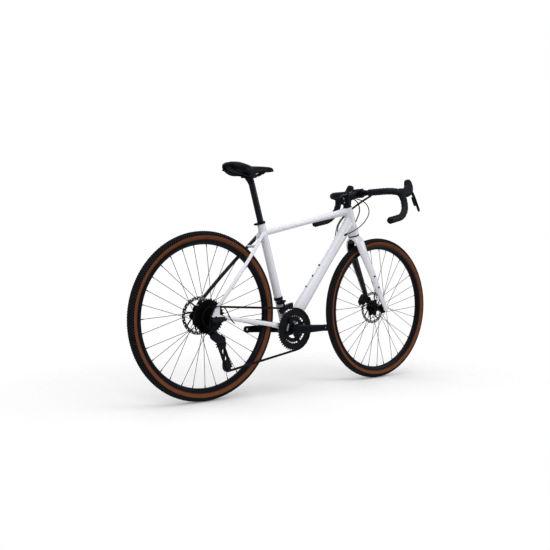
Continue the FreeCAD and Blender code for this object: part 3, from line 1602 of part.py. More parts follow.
def paddle_place(side):
    """Pivot of the paddle, the way along its blade and the way out behind the lever."""
    points = lever_points(side)
    start = points[0] + (points[-1] - points[0]) * paddle_pivot_share
    along = unit(points[-1] - points[0])
    back = unit(along.cross(drop_across(side)))
    if back.x > 0:
        back = back * -1
    return start + back * paddle_back, along, back


def shift_paddle(side):
    """Small blade behind the brake lever, hung on a boss that seats on the lever's back."""
    start, along, back = paddle_place(side)
    across = drop_across(side)
    stop = start + along * paddle_length
    wires = []
    for share, wide in zip(paddle_place_shares, paddle_width_shares):
        middle = start + (stop - start) * share
        wires.append(oval(middle, across, back, paddle_width * wide, paddle_thickness, paddle_power_share))
    boss = cylinder(start, start - back * (paddle_back + lever_thickness), paddle_boss_diameter)
    count = len(lever_drop_shares)
    lever = lever_blade(side, [lever_width * 2] * count, [lever_thickness + 2 * rest_gap] * count)
    boss = min(boss.cut(lever).Solids, key=lambda s: (s.CenterOfMass - start).Length)
    return loft(wires).fuse(boss).removeSplitter()


# rear derailleur
fall = math.radians(link_fall)
link_way = Vec(math.cos(fall), 0, -math.sin(fall))
shift_way = unit(Vec(-math.sin(fall), shift_slope, -math.cos(fall)))
link_axis = unit(link_way.cross(shift_way))
knuckle_middle = rear_axle - AHEAD * knuckle_back - UP * knuckle_drop - ACROSS * knuckle_out


def link_pivots(which):
    """Pivots of a link at its frame end and at its cage end. The outer one is -1, the inner one 1."""
    start = knuckle_middle + shift_way * (which * link_spread / 2)
    return start, start + link_way * link_length


def derailleur_link(which):
    start, stop = link_pivots(which)
    half = link_axis * (link_width / 2)
    ways = (link_way, link_axis, shift_way)
    body = block((start + stop) / 2, ways, (link_length, link_width, link_thickness))
    for p in (start, stop):
        body = body.fuse(cylinder(p - half, p + half, link_end_radius * 2))
    for p in (start, stop):
        body = body.cut(cylinder(p - half * 2, p + half * 2, link_pin_diameter + 2 * fit_gap))
    return body.removeSplitter()


def lug_frame(middle, way):
    """Two cheek plates with both link pins between them, joined behind the pivots."""
    ways = (link_way, link_axis, shift_way)
    gap = link_width / 2 + side_gap
    pieces = []
    for side in SIDES:
        centre = middle + link_axis * (side * (gap + lug_thickness / 2)) + link_way * (way * lug_reach / 2)
        size = (lug_reach + 2 * link_end_radius, lug_thickness, link_spread + 2 * link_end_radius)
        pieces.append(block(centre, ways, size))
    for which in (-1, 1):
        pin = middle + shift_way * (which * link_spread / 2)
        half = link_axis * (gap + lug_thickness)
        pieces.append(cylinder(pin - half, pin + half, link_pin_diameter))
    bar = middle + link_way * (way * (lug_reach + link_end_radius / 2))
    size = (link_end_radius, 2 * (gap + lug_thickness), link_spread + 2 * link_end_radius)
    pieces.append(block(bar, ways, size))
    return pieces, bar


def derailleur_knuckle():
    """Knuckle bolted to the hanger. It carries the fixed ends of both links."""
    pieces, bar = lug_frame(knuckle_middle, -1)
    seat = hanger - ACROSS * (dropout_outer + side_gap)
    outer = seat - ACROSS * hanger_boss_length
    boss = cylinder(seat, outer, knuckle_diameter)
    bolt = cylinder(hanger - ACROSS * dropout_inner, outer - ACROSS * axle_head_length, hanger_bolt_diameter)
    neck = cylinder((seat + outer) / 2, bar, knuckle_neck_diameter)
    plate = tongue(rear_axle, dropout_radius, hanger, hanger_radius, -dropout_outer - side_gap, -dropout_inner + side_gap)
    body = boss.multiFuse(pieces + [neck]).cut(plate).fuse(bolt)
    return max(body.removeSplitter().Solids, key=lambda s: s.Volume)


cage_low = chain_cog_place - cage_half_width - cage_plate
barrel_start = cage_low - cage_plate - side_gap


def derailleur_p_knuckle():
    """Moving knuckle: the far ends of both links and the barrel that the cage turns on."""
    middle = knuckle_middle + link_way * link_length
    pieces, bar = lug_frame(middle, 1)
    axis = guide_pivot
    barrel = cylinder(axis + ACROSS * barrel_start, axis - ACROSS * barrel_end_place, barrel_diameter)
    neck = cylinder(axis - ACROSS * ((barrel_end_place - barrel_start) / 2), bar, knuckle_neck_diameter)
    pin = cylinder(axis + ACROSS * barrel_start, axis + ACROSS * cage_low, pulley_bolt_diameter * 2)
    body = pieces[0].multiFuse(pieces[1:] + [barrel, neck, pin])
    return body.removeSplitter()


def derailleur_cage():
    """Two plates that hold the pulleys on bolts, with a boss round the barrel's pin."""
    pieces = []
    high = chain_cog_place + cage_half_width
    for low in (chain_cog_place - cage_half_width - cage_plate, high):
        top = low + cage_plate
        plate = tongue(guide, cage_pulley_radius, tension, cage_pulley_radius, low, top)
        slot_ends = [guide + (tension - guide) * t for t in (0.32, 0.68)]
        slot = tongue(slot_ends[0], cage_waist_radius, slot_ends[1], cage_waist_radius, low - overrun, top + overrun)
        plate = plate.cut(slot)
        if low < chain_cog_place:
            plate = plate.fuse(tongue(guide, cage_pulley_radius, guide_pivot, cage_boss_diameter / 2, low, top))
            seat = guide_pivot + ACROSS * low
            boss = cylinder(seat, seat - ACROSS * cage_plate, cage_boss_diameter)
            hole = cylinder(seat - ACROSS * overrun, seat + ACROSS * overrun, pulley_bolt_diameter * 2 + 2 * fit_gap)
            plate = plate.fuse(boss).cut(hole)
        pieces.append(plate)
    body = pieces[0]
    for p in (guide, tension):
        low = chain_cog_place - cage_half_width - cage_plate
        body = body.fuse(cylinder(p + ACROSS * low, p + ACROSS * (high + cage_plate), pulley_bolt_diameter))
    return body.fuse(pieces[1]).removeSplitter()


def pulley(centre, stop):
    """Toothed guide wheel with a wider hub that runs on its bolt."""
    bore = pulley_bolt_diameter + 2 * fit_gap
    wheel = sprocket(centre, pulley_teeth, tooth_turn(stop), chain_cog_place, pulley_thickness, bore)
    half = ACROSS * (cage_half_width - side_gap)
    middle = centre + ACROSS * chain_cog_place
    return wheel.fuse(collar(middle - half, middle + half, pulley_hub_diameter, bore)).removeSplitter()


# front derailleur
ring_tip_radius = pitch_radius(ring_teeth) + tooth_height
cage_inner_radius = ring_tip_radius + shifter_cage_gap
cage_outer_radius = cage_inner_radius + shifter_cage_height
shifter_turn = math.radians((shifter_cage_start + shifter_cage_end) / 2)
shifter_pivot = polar(bb, cage_outer_radius + shifter_pivot_rise / 2, shifter_turn, -shifter_pivot_place)
shifter_way = Vec(math.sin(shifter_turn), 0, -math.cos(shifter_turn))


def front_derailleur_mount():
    """Band round the seat tube with the body that carries the cage's pivot."""
    low, high = on_seat(shifter_clamp_on_seat), on_seat(shifter_clamp_on_seat + shifter_clamp_height)
    inner = seat_tube_diameter + 2 * fit_gap
    band = collar(low, high, inner + 2 * shifter_clamp_wall, inner)
    middle = (low + high) / 2
    inboard = shifter_pivot + ACROSS * (shifter_pivot_place - seat_tube_diameter / 2 - shifter_clamp_wall)
    half = shifter_way * (shifter_pivot_length / 2)
    arm = cylinder(middle - ACROSS * (seat_tube_diameter / 2), inboard, shifter_body_width)
    body = cylinder(inboard - half, inboard + half, shifter_body_height * 0.8)
    eye = cylinder(shifter_pivot - half, shifter_pivot + half, shifter_pivot_diameter)
    cheek = ACROSS * (shifter_pivot_place - seat_tube_diameter / 2)
    ends = []
    for way in (-1, 1):
        spot = shifter_pivot + half * way
        ends.append(cylinder(spot, spot + cheek, shifter_pivot_diameter * 1.6))
    bar = cylinder(shifter_pivot - half + cheek, shifter_pivot + half + cheek, shifter_pivot_diameter * 1.6)
    body = band.multiFuse([arm, body, eye, bar] + ends)
    tube = cylinder(on_seat(0), on_seat(seat_tube_length), inner)
    return max(body.cut(tube).removeSplitter().Solids, key=lambda s: s.Volume)


def sector(inner, outer, first, last, low, high):
    """Flat curved plate about the bottom bracket, between two angles."""
    middle = (first + last) / 2

    def at(radius, angle):
        return polar(bb, radius, angle, low)

    edges = [Part.Arc(at(inner, first), at(inner, middle), at(inner, last))]
    edges.append(Part.LineSegment(at(inner, last), at(outer, last)))
    edges.append(Part.Arc(at(outer, last), at(outer, middle), at(outer, first)))
    edges.append(Part.LineSegment(at(outer, first), at(inner, first)))
    return Part.Face(Part.Wire([e.toShape() for e in edges])).extrude(ACROSS * (high - low))


def front_derailleur_cage():
    """Two curved plates either side of the chain, hung from the pivot by an arm."""
    first, last = math.radians(shifter_cage_start), math.radians(shifter_cage_end)
    outer_low = -ring_place - shifter_cage_half - shifter_cage_plate
    inner_low = -ring_place + shifter_cage_inner_half
    inner_high = inner_low + shifter_cage_plate
    plates = [sector(cage_inner_radius, cage_outer_radius, first, last, outer_low, outer_low + shifter_cage_plate)]
    plates.append(sector(cage_inner_radius, cage_outer_radius, first, last, inner_low, inner_high))
    thick = cage_outer_radius - shifter_cage_plate
    bridge = math.radians(shifter_bridge_end)
    plates.append(sector(thick, cage_outer_radius, first, bridge, outer_low, inner_high))
    half = shifter_way * (shifter_pivot_length / 2 - shifter_arm_width / 2 - rest_gap)
    boss = cylinder(shifter_pivot - half, shifter_pivot + half, shifter_arm_width)
    foot = polar(bb, thick, shifter_turn, (inner_low + inner_high) / 2)
    arm = cylinder(foot, shifter_pivot, shifter_arm_width * 0.8)
    body = plates[0].multiFuse(plates[1:] + [boss, arm])
    reach = half * 3
    hole = cylinder(shifter_pivot - reach, shifter_pivot + reach, shifter_pivot_diameter + 2 * fit_gap)
    return max(body.cut(hole).removeSplitter().Solids, key=lambda s: s.Volume)


# brakes
def caliper(centre, place, turn, foot, avoid):
    """Caliper over the rotor's edge, on a foot that meets the frame or fork."""
    angle = math.radians(turn)
    middle = polar(centre, caliper_reach, angle)
    way = AHEAD * -math.sin(angle) + UP * math.cos(angle)
    one = middle - way * (caliper_length / 2 - caliper_height)
    two = middle + way * (caliper_length / 2 - caliper_height)
    low, high = place - caliper_inner, place - caliper_inner + caliper_width
    body = tongue(one, caliper_height, two, caliper_height, low, high)
    body = body.fuse(tongue(middle, caliper_foot, foot, caliper_foot, place + caliper_slot, high))
    disc = rotor_diameter + 2 * caliper_slot
    side = ACROSS * (caliper_slot / 2)
    spot = centre + ACROSS * place
    body = body.cut(cylinder(spot - side, spot + side, disc))
    for shape in avoid:
        body = body.cut(shape)
    body = max(body.removeSplitter().Solids, key=lambda s: s.Volume)
    top = two + way * caliper_height + ACROSS * (place + caliper_width / 4)
    banjo = cylinder(top - way * banjo_length, top + way * banjo_length, banjo_diameter)
    return body.fuse(banjo).removeSplitter(), top + way * banjo_length


def front_brake():
    start, stop = blade_line(LEFT)
    height = polar(front_axle, caliper_reach, math.radians(front_caliper_turn)).z
    foot = start + (stop - start) * ((start.z - height) / (start.z - stop.z))
    return caliper(front_axle, front_rotor_place, front_caliper_turn, foot, [fork_blade(LEFT)])


def rear_brake():
    spot = polar(rear_axle, caliper_reach, math.radians(rear_caliper_turn))
    toward = unit(bb - rear_axle)
    foot = rear_axle + toward * (spot - rear_axle).dot(toward)
    return caliper(rear_axle, rear_rotor_place, rear_caliper_turn, foot, [chainstay(LEFT), dropout(LEFT)])


# cables: routes are points chosen along the real runs
front_hose_route = [
    Vec(372, 66, 900), Vec(388, 42, 888), Vec(401, 29, 860), Vec(396, 19, 828),
    Vec(379, 19, 797), Vec(371, 30, 762), Vec(376, 44, 728), Vec(384, 49, 690),
]
rear_hose_route = [
    Vec(381, -72, 899), Vec(362, -44, 876), Vec(336, -12, 846), Vec(320, 22, 818),
    Vec(300, 36, 790), Vec(276, 37, 764), Vec(258, 31, 736), Vec(247, 21, 712),
]
left_shift_route = [
    Vec(376, 70, 900), Vec(402, 38, 892), Vec(424, 12, 876), Vec(431, -8, 848),
    Vec(419, -22, 818), Vec(392, -32, 790), Vec(358, -38, 762), Vec(320, -38, 739),
    Vec(287, -34, 722), Vec(264, -25, 712),
]
right_shift_route = [
    Vec(376, -70, 900), Vec(362, -38, 884), Vec(338, -6, 856), Vec(318, 28, 826),
    Vec(296, 44, 796), Vec(270, 45, 766), Vec(250, 38, 734), Vec(236, 24, 700),
]
derailleur_route = [
    Vec(-416, -66, 322), Vec(-434, -72, 333), Vec(-451, -78, 353), Vec(-467, -84, 378),
    Vec(-490, -88, 396), Vec(-518, -90, 398), Vec(-541, -92, 381), Vec(-552, -92, 354),
    Vec(-552, -88, 326), Vec(-545, -80, 306),
]


def cable(route, diameter, name, avoid):
    """Swept housing, trimmed where it meets the tubes it runs into."""
    body = swept(route, diameter, name)
    for shape in avoid:
        body = body.cut(shape)
    return max(body.Solids, key=lambda s: s.Volume)


def port(route, diameter, avoid):
    """Grommet where a cable enters a tube: it ends where the cable starts, and is cut to the tube's side."""
    tip = route[-1]
    along = unit(tip - route[-2])
    body = cylinder(tip, tip + along * port_length * 3, diameter)
    for shape in avoid:
        body = body.cut(shape)
    return min(body.Solids, key=lambda s: (s.CenterOfMass - tip).Length)


def steering_cables():
    grown = [s + 2 * rest_gap for s in down_widths], [s + 2 * rest_gap for s in down_heights]
    tube = straight_loft(bb, down_stop, down_tube_shares, grown[0], grown[1])
    tape = [swept(tape_points(side), bar_diameter + 2 * tape_thickness) for side in SIDES]
    avoid = [tube] + tape
    pieces = [cable(front_hose_route, hose_diameter, "front hose", tape + [fork_blades()])]
    pieces.append(cable(rear_hose_route, hose_diameter, "rear hose", avoid))
    pieces.append(cable(left_shift_route, housing_diameter, "front shift housing", avoid))
    pieces.append(cable(right_shift_route, housing_diameter, "rear shift housing", avoid))
    return group(pieces)


def frame_cables():
    stops = [chainstay(RIGHT), derailleur_knuckle()]
    pieces = [cable(derailleur_route, housing_diameter, "derailleur housing", stops)]
    for route in (rear_hose_route, left_shift_route, right_shift_route):
        pieces.append(port(route, port_diameter, [down_outer]))
    return group(pieces)


# small bolts
def bolt_on(seat, way):
    """Round bolt head with a bevelled edge, standing on a surface."""
    rim_top = seat + way * (boss_bolt_head - boss_bolt_bevel)
    body = cylinder(seat, rim_top, boss_bolt_diameter)
    crown = cone(rim_top, seat + way * boss_bolt_head, boss_bolt_diameter, boss_bolt_diameter - 2 * boss_bolt_bevel)
    return body.fuse(crown)


def frame_bolts():
    """Bottle bolts on top of the down tube."""
    line = down_stop - bb
    pieces = []
    for share in bottle_shares:
        height = mixed(share, down_tube_shares, down_heights)
        seat = bb + line * share + down_up * (height / 2)
        start = seat - down_up * boss_bolt_head
        head = bolt_on(seat, down_up).fuse(cylinder(start, seat, boss_bolt_diameter))
        pieces.append(max(head.cut(down_outer).Solids, key=lambda s: s.Volume))
    return group(pieces)


def steering_bolts():
    """Cargo bolts on the outside of the fork blades, and the bolts of the stem."""
    pieces = []
    for side in SIDES:
        start, stop = blade_line(side)
        blade = fork_blade(side)
        for share in fork_boss_shares:
            width = mixed(share, blade_shares, (blade_root_width, blade_root_width, blade_mid_width, blade_end_width,
                                                blade_end_width))
            spot = start + (stop - start) * share
            way = ACROSS * side
            seat = spot + way * (width / 2)
            head = bolt_on(seat, way).fuse(cylinder(spot, seat, boss_bolt_diameter))
            pieces.append(max(head.cut(blade).Solids, key=lambda s: (s.CenterOfMass - spot).dot(way)))
    for way in (-1, 1):
        for lift in (-1, 1):
            seat = bar_centre + ACROSS * (way * stem_bolt_spread / 2) + stem_up * (lift * stem_bolt_rise / 2)
            seat = seat + stem_ahead * (stem_face_diameter / 2)
            start = seat - stem_ahead * (stem_face_diameter / 2 - stem_face_slit)
            head = cylinder(start, seat, stem_bolt_diameter).cut(group(stem().Solids))
            pieces.append(max(head.Solids, key=lambda s: (s.CenterOfMass - bar_centre).dot(stem_ahead)))
    return group(pieces)


def build():
    os.makedirs("parts", exist_ok=True)
    for node, centre, circle, left, right in (
        ("front", front_axle, front_hole_circle, front_flange_left, front_flange_right),
        ("rear", rear_axle, rear_hole_circle, rear_flange_left, rear_flange_right),
    ):
        save(node + "_tyre", tyre(centre))
        save(node + "_rim", rim(centre, front_valve_turn if node == "front" else rear_valve_turn))
        save(node + "_spokes", spokes(centre, circle, left, right))
    save("front_hub", front_hub())
    save("rear_hub", rear_hub())
    save("front_rotor", rotor(front_axle, front_rotor_place))
    save("rear_rotor", rotor(rear_axle, rear_rotor_place))
    save("front_axle", axle(front_axle, front_hub_width, fork_end_thickness))
    save("rear_axle", axle(rear_axle, rear_hub_width, dropout_thickness))
    save("cassette", cassette())
    save("chain", chain())
    save("crank_right", crank_right())
    save("crank_left", crank_left())
    save("chainrings", chainrings())
    save("head_tube", head_tube())
    save("top_tube", top_tube())
    save("down_tube", down_tube())
    save("seat_tube", seat_tube())
    save("bottom_bracket_shell", bottom_bracket_shell())
    save("bottom_bracket_cups", bottom_bracket_cups())
    save("chainstays", chainstays())
    save("seatstays", seatstays())
    save("dropouts", dropouts())
    save("seat_clamp", seat_clamp())
    save("headset_cups", headset_cups())
    save("seatpost", seatpost())
    save("saddle_cradle", saddle_cradle())
    save("saddle_rails", saddle_rails())
    save("saddle_shell", saddle_shell())
    save("saddle_pad", saddle_pad())
    save("fork_crown", fork_crown())
    save("fork_blades", fork_blades())
    save("headset_spacers", headset_spacers())
    save("stem", stem())
    save("handlebar", handlebar())
    save("bar_tape", bar_tape())
    save("bar_end_plugs", bar_end_plugs())
    save("lever_hoods", lever_hoods())
    for name, side in (("left", LEFT), ("right", RIGHT)):
        save("brake_lever_" + name, brake_lever(side))
        save("shift_paddle_" + name, shift_paddle(side))
    save("front_caliper", front_brake()[0])
    save("rear_caliper", rear_brake()[0])
    save("front_derailleur_mount", front_derailleur_mount())
    save("front_derailleur_cage", front_derailleur_cage())
    save("derailleur_knuckle", derailleur_knuckle())
    save("derailleur_outer_link", derailleur_link(-1))
    save("derailleur_inner_link", derailleur_link(1))
    save("derailleur_p_knuckle", derailleur_p_knuckle())
    save("derailleur_cage", derailleur_cage())
    save("pulley_upper", pulley(guide, 2))
    save("pulley_lower", pulley(tension, 1))
    save("steering_cables", steering_cables())
    save("frame_cables", frame_cables())
    save("frame_bolts", frame_bolts())
    save("steering_bolts", steering_bolts())


build()
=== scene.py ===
import json
import math

import bpy
import numpy as np
from mathutils import Matrix


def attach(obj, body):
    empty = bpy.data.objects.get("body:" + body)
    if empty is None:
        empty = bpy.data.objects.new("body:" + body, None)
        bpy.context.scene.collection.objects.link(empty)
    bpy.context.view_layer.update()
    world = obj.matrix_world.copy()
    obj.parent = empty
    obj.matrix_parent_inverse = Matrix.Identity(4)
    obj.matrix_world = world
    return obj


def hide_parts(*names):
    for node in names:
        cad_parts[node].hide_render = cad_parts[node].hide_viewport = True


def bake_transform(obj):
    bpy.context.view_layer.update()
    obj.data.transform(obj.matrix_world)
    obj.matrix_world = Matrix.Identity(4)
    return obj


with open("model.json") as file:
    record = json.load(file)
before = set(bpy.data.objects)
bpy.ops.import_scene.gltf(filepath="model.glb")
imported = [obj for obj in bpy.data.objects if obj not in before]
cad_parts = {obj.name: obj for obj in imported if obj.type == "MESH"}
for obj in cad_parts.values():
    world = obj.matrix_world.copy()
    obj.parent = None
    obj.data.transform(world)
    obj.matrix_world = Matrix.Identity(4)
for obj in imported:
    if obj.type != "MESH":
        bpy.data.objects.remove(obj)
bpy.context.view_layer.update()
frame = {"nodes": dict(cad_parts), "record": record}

nodes = frame["nodes"]
MM = 0.001
AHEAD = np.array([1.0, 0.0, 0.0])
LEFT = np.array([0.0, 1.0, 0.0])
UP = np.array([0.0, 0.0, 1.0])

# places of the bike in millimetres: forward, left, up
rear_axle = np.array([-515.0, 0.0, 350.0])
front_axle = np.array([515.0, 0.0, 350.0])
crank_centre = np.array([-78.0, 0.0, 277.5])
head_turn, seat_turn = math.radians(71.0), math.radians(72.68)
head_up = np.array([-math.cos(head_turn), 0.0, math.sin(head_turn)])
head_ahead = np.array([math.sin(head_turn), 0.0, math.cos(head_turn)])
fork_length, fork_offset = 398.0, 53.0
fork_rise = math.sqrt(fork_length ** 2 - fork_offset ** 2)
fork_top = front_axle - head_ahead * fork_offset + head_up * fork_rise
seat_up = np.array([-math.cos(seat_turn), 0.0, math.sin(seat_turn)])
seat_set_back = 10.2
seat_foot = crank_centre - AHEAD * seat_set_back
bar_centre = np.array([365.276, 0.0, 913.557])
bar_lean, bar_half = math.radians(17.9), 210.0


def on_head(distance):
    """Point on the steering axis, at a distance above the fork's top."""
    return fork_top + head_up * distance


def on_seat(distance):
    """Point on the seat tube's axis, at a distance above its foot."""
    return seat_foot + seat_up * distance


def lean_ways(side):
    """Up and sideways directions in the leaning plane of one drop of the bar."""
    up = UP * math.cos(bar_lean) - LEFT * side * math.sin(bar_lean)
    return up, LEFT * math.cos(bar_lean) + UP * side * math.sin(bar_lean)


# curves and grids
def unit(v):
    """Vectors divided by their lengths."""
    return v / np.linalg.norm(v, axis=-1, keepdims=True)


def full_turn(count):
    """Angles at even steps once round."""
    return np.linspace(0, 2 * np.pi, count, endpoint=False)


def distances(line):
    """Distance of each point of a line from its first one: the steps between points, added up."""
    return np.concatenate([[0], np.cumsum(np.linalg.norm(np.diff(line, axis=0), axis=1))])


def eased(at, places, values):
    """Smooth curve through stations: cubic pieces whose slopes are the averages of the chords
    beside each station."""
    x, y, t = np.asarray(places, float), np.asarray(values, float), np.asarray(at, float)
    slope = np.gradient(y, x)
    i = np.clip(np.searchsorted(x, t, side="right") - 1, 0, len(x) - 2)
    h = x[i + 1] - x[i]
    s = np.clip((t - x[i]) / h, 0, 1)
    a, b = 2 * s ** 3 - 3 * s ** 2 + 1, s ** 3 - 2 * s ** 2 + s
    leaving = a * y[i] + b * h * slope[i]
    return leaving + (1 - a) * y[i + 1] + (s ** 3 - s ** 2) * h * slope[i + 1]


def squared(angle, power):
    """Cosine and sine raised to a power under one, with their signs kept: a rounded box instead
    of an ellipse."""
    c, s = np.cos(angle), np.sin(angle)
    return np.sign(c) * np.abs(c) ** power, np.sign(s) * np.abs(s) ** power


def grid_faces(rows, columns, round_rows):
    """Quads between neighbouring rows and columns. The columns close on themselves, and the rows
    do where asked."""
    r = np.arange(rows if round_rows else rows - 1)
    i, j = np.meshgrid(r, np.arange(columns), indexing="ij")
    k, m = (i + 1) % rows, (j + 1) % columns
    quads = np.stack([i * columns + j, i * columns + m, k * columns + m, k * columns + j], -1)
    return quads.reshape(-1, 4)


def closed_tube(rings):
    """Points and faces of a tube given as rings of points, with a fan over each end."""
    rows, columns = rings.shape[:2]
    points = np.concatenate([rings.reshape(-1, 3), rings[:1].mean(1), rings[-1:].mean(1)])
    c = np.arange(columns)
    n = (c + 1) % columns
    first = np.stack([np.full(columns, rows * columns), n, c], -1)
    last = (rows - 1) * columns
    second = np.stack([np.full(columns, rows * columns + 1), last + c, last + n], -1)
    return points, grid_faces(rows, columns, False), np.concatenate([first, second])


def faces_out(points, quads, triangles):
    """Turns every face when the enclosed volume, summed over the faces' tetrahedra, is negative."""
    t = np.concatenate([quads[:, [0, 1, 2]], quads[:, [0, 2, 3]], triangles])
    a, b, c = points[t[:, 0]], points[t[:, 1]], points[t[:, 2]]
    if np.einsum("ij,ij->i", a, np.cross(b, c)).sum() < 0:
        return quads[:, ::-1], triangles[:, ::-1]
    return quads, triangles


def tube_rings(path, widths, heights, power, around=40, side=None):
    """Rings square to a path: a squared ellipse with its width to the side and its height across
    both."""
    along = unit(np.gradient(path, axis=0))
    side = LEFT if side is None else side
    up = unit(np.cross(along, side))
    out = unit(np.cross(up, along))
    c, s = squared(full_turn(around), power)
    wide = (widths / 2)[:, None, None] * c[None, :, None] * out[:, None, :]
    high = (heights / 2)[:, None, None] * s[None, :, None] * up[:, None, :]
    return path[:, None, :] + wide + high


def carried(line):
    """Two directions square to a line, turned as little as possible from one point to the next."""
    along = unit(np.gradient(line, axis=0))
    upright = 0.9
    rows = [unit(np.cross(along[0], UP if abs(along[0][2]) < upright else AHEAD))]
    for a in along[1:]:
        rows.append(unit(rows[-1] - a * np.dot(rows[-1], a)))
    side = np.array(rows)
    return side, np.cross(along, side)


# meshes and pieces
def new_mesh(name, points, quads, triangles=None):
    """Mesh from arrays of points in millimetres and of face corners."""
    mesh = bpy.data.meshes.new(name)
    triangles = np.zeros((0, 3), int) if triangles is None else triangles
    corners = np.concatenate([quads.ravel(), triangles.ravel()]).astype(np.int32)
    sizes = np.concatenate([np.full(len(quads), 4), np.full(len(triangles), 3)])
    mesh.vertices.add(len(points))
    mesh.vertices.foreach_set("co", (points * MM).astype(np.float32).ravel())
    mesh.loops.add(len(corners))
    mesh.loops.foreach_set("vertex_index", corners)
    mesh.polygons.add(len(sizes))
    mesh.polygons.foreach_set("loop_start", (np.cumsum(sizes) - sizes).astype(np.int32))
    mesh.polygons.foreach_set("use_smooth", np.ones(len(sizes), bool))
    mesh.update(calc_edges=True)
    mesh.validate()
    return mesh


def put(name, data):
    """New object in the scene that holds the data."""
    thing = bpy.data.objects.new(name, data)
    bpy.context.scene.collection.objects.link(thing)
    return thing


def as_mesh(thing):
    """Mesh of an object as it stands with its modifiers, or of a curve's line."""
    return bpy.data.meshes.new_from_object(
        thing.evaluated_get(bpy.context.evaluated_depsgraph_get()))


def new_piece(name, mesh, material):
    """Piece of the bike with one material."""
    piece = put(name, mesh)
    piece.data.materials.clear()
    piece.data.materials.append(material)
    return piece


def closed_piece(name, shape, material):
    """Piece from a closed shape's points, quads and triangles, with its faces turned outwards."""
    points, quads, triangles = shape
    quads, triangles = faces_out(points, quads, triangles)
    return new_piece(name, new_mesh(name, points, quads, triangles), material)


def add_value(mesh, name, values):
    """Number kept on each point, which a material can read."""
    kept = mesh.attributes.new(name, "FLOAT", "POINT")
    kept.data.foreach_set("value", np.asarray(values, np.float32).ravel())


def points_of(mesh):
    """Places in millimetres and normals of a mesh's points."""
    co = np.zeros(len(mesh.vertices) * 3, np.float32)
    mesh.vertices.foreach_get("co", co)
    normal = np.zeros(len(mesh.vertices) * 3, np.float32)
    mesh.vertex_normals.foreach_get("vector", normal)
    return co.reshape(-1, 3) / MM, normal.reshape(-1, 3)


def smooth_union(name, parts, grain, passes):
    """Closed shapes joined into one skin on a grid of small cells, then relaxed, which fairs every
    joint."""
    points, quads, triangles, count = [], [], [], 0
    for p, q, t in parts:
        q, t = faces_out(p, q, t)
        points.append(p)
        quads.append(q + count)
        triangles.append(t + count)
        count += len(p)
    loose = new_mesh(name, *[np.concatenate(rows) for rows in (points, quads, triangles)])
    rough = put(name + "_rough", loose)
    cells = rough.modifiers.new("cells", "REMESH")
    cells.mode = "VOXEL"
    cells.voxel_size = grain * MM
    cells.use_smooth_shade = True
    relax = rough.modifiers.new("relax", "SMOOTH")
    relax.factor = 0.5
    relax.iterations = passes
    skin = as_mesh(rough)
    skin.name = name
    bpy.data.objects.remove(rough)
    skin.polygons.foreach_set("use_smooth", np.ones(len(skin.polygons), bool))
    return skin


# materials
def new_group(name, inputs, outputs):
    """Empty node group with named inputs and outputs."""
    group = bpy.data.node_groups.new(name, "ShaderNodeTree")
    for label, kind, value in inputs:
        socket = group.interface.new_socket(name=label, in_out="INPUT", socket_type=kind)
        socket.default_value = value
    for label, kind in outputs:
        group.interface.new_socket(name=label, in_out="OUTPUT", socket_type=kind)
    return group, group.nodes.new("NodeGroupInput"), group.nodes.new("NodeGroupOutput")


def mottle_group():
    """Soft clouds and fine grain: a colour between two tones, a roughness between two values and a
    height."""
    colour, number = "NodeSocketColor", "NodeSocketFloat"
    group, given, out = new_group(
        "mottle",
        [("Tone", colour, (0.5, 0.5, 0.5, 1)), ("Shade", colour, (0.4, 0.4, 0.4, 1)),
         ("Cloud Scale", number, 12.0), ("Grain Scale", number, 900.0),
         ("Smooth", number, 0.3), ("Rough", number, 0.5)],
        [("Color", colour), ("Roughness", number), ("Height", number)])
    make, link = group.nodes.new, group.links.new
    place = make("ShaderNodeTexCoord")
    cloud = make("ShaderNodeTexNoise")
    cloud.inputs["Detail"].default_value = 4.0
    grain = make("ShaderNodeTexNoise")
    grain.inputs["Detail"].default_value = 2.0
    for texture, label in ((cloud, "Cloud Scale"), (grain, "Grain Scale")):
        link(place.outputs["Object"], texture.inputs["Vector"])
        link(given.outputs[label], texture.inputs["Scale"])
    spread = make("ShaderNodeMapRange")
    spread.inputs["From Min"].default_value = 0.35
    spread.inputs["From Max"].default_value = 0.7
    link(cloud.outputs["Fac"], spread.inputs["Value"])
    tone = make("ShaderNodeMix")
    tone.data_type = "RGBA"
    link(spread.outputs["Result"], tone.inputs["Factor"])
    link(given.outputs["Tone"], tone.inputs["A"])
    link(given.outputs["Shade"], tone.inputs["B"])
    gloss = make("ShaderNodeMapRange")
    link(grain.outputs["Fac"], gloss.inputs["Value"])
    link(given.outputs["Smooth"], gloss.inputs["To Min"])
    link(given.outputs["Rough"], gloss.inputs["To Max"])
    link(tone.outputs["Result"], out.inputs["Color"])
    link(gloss.outputs["Result"], out.inputs["Roughness"])
    link(grain.outputs["Fac"], out.inputs["Height"])
    return group


mottle = mottle_group()


def spots_in(tree, tones, cloud):
    """Mottle node in a material's tree, with its two tones and the scale of its clouds."""
    spots = tree.nodes.new("ShaderNodeGroup")
    spots.node_tree = mottle
    for label, tone in zip(("Tone", "Shade"), tones):
        spots.inputs[label].default_value = (*tone, 1)
    spots.inputs["Cloud Scale"].default_value = cloud
    return spots


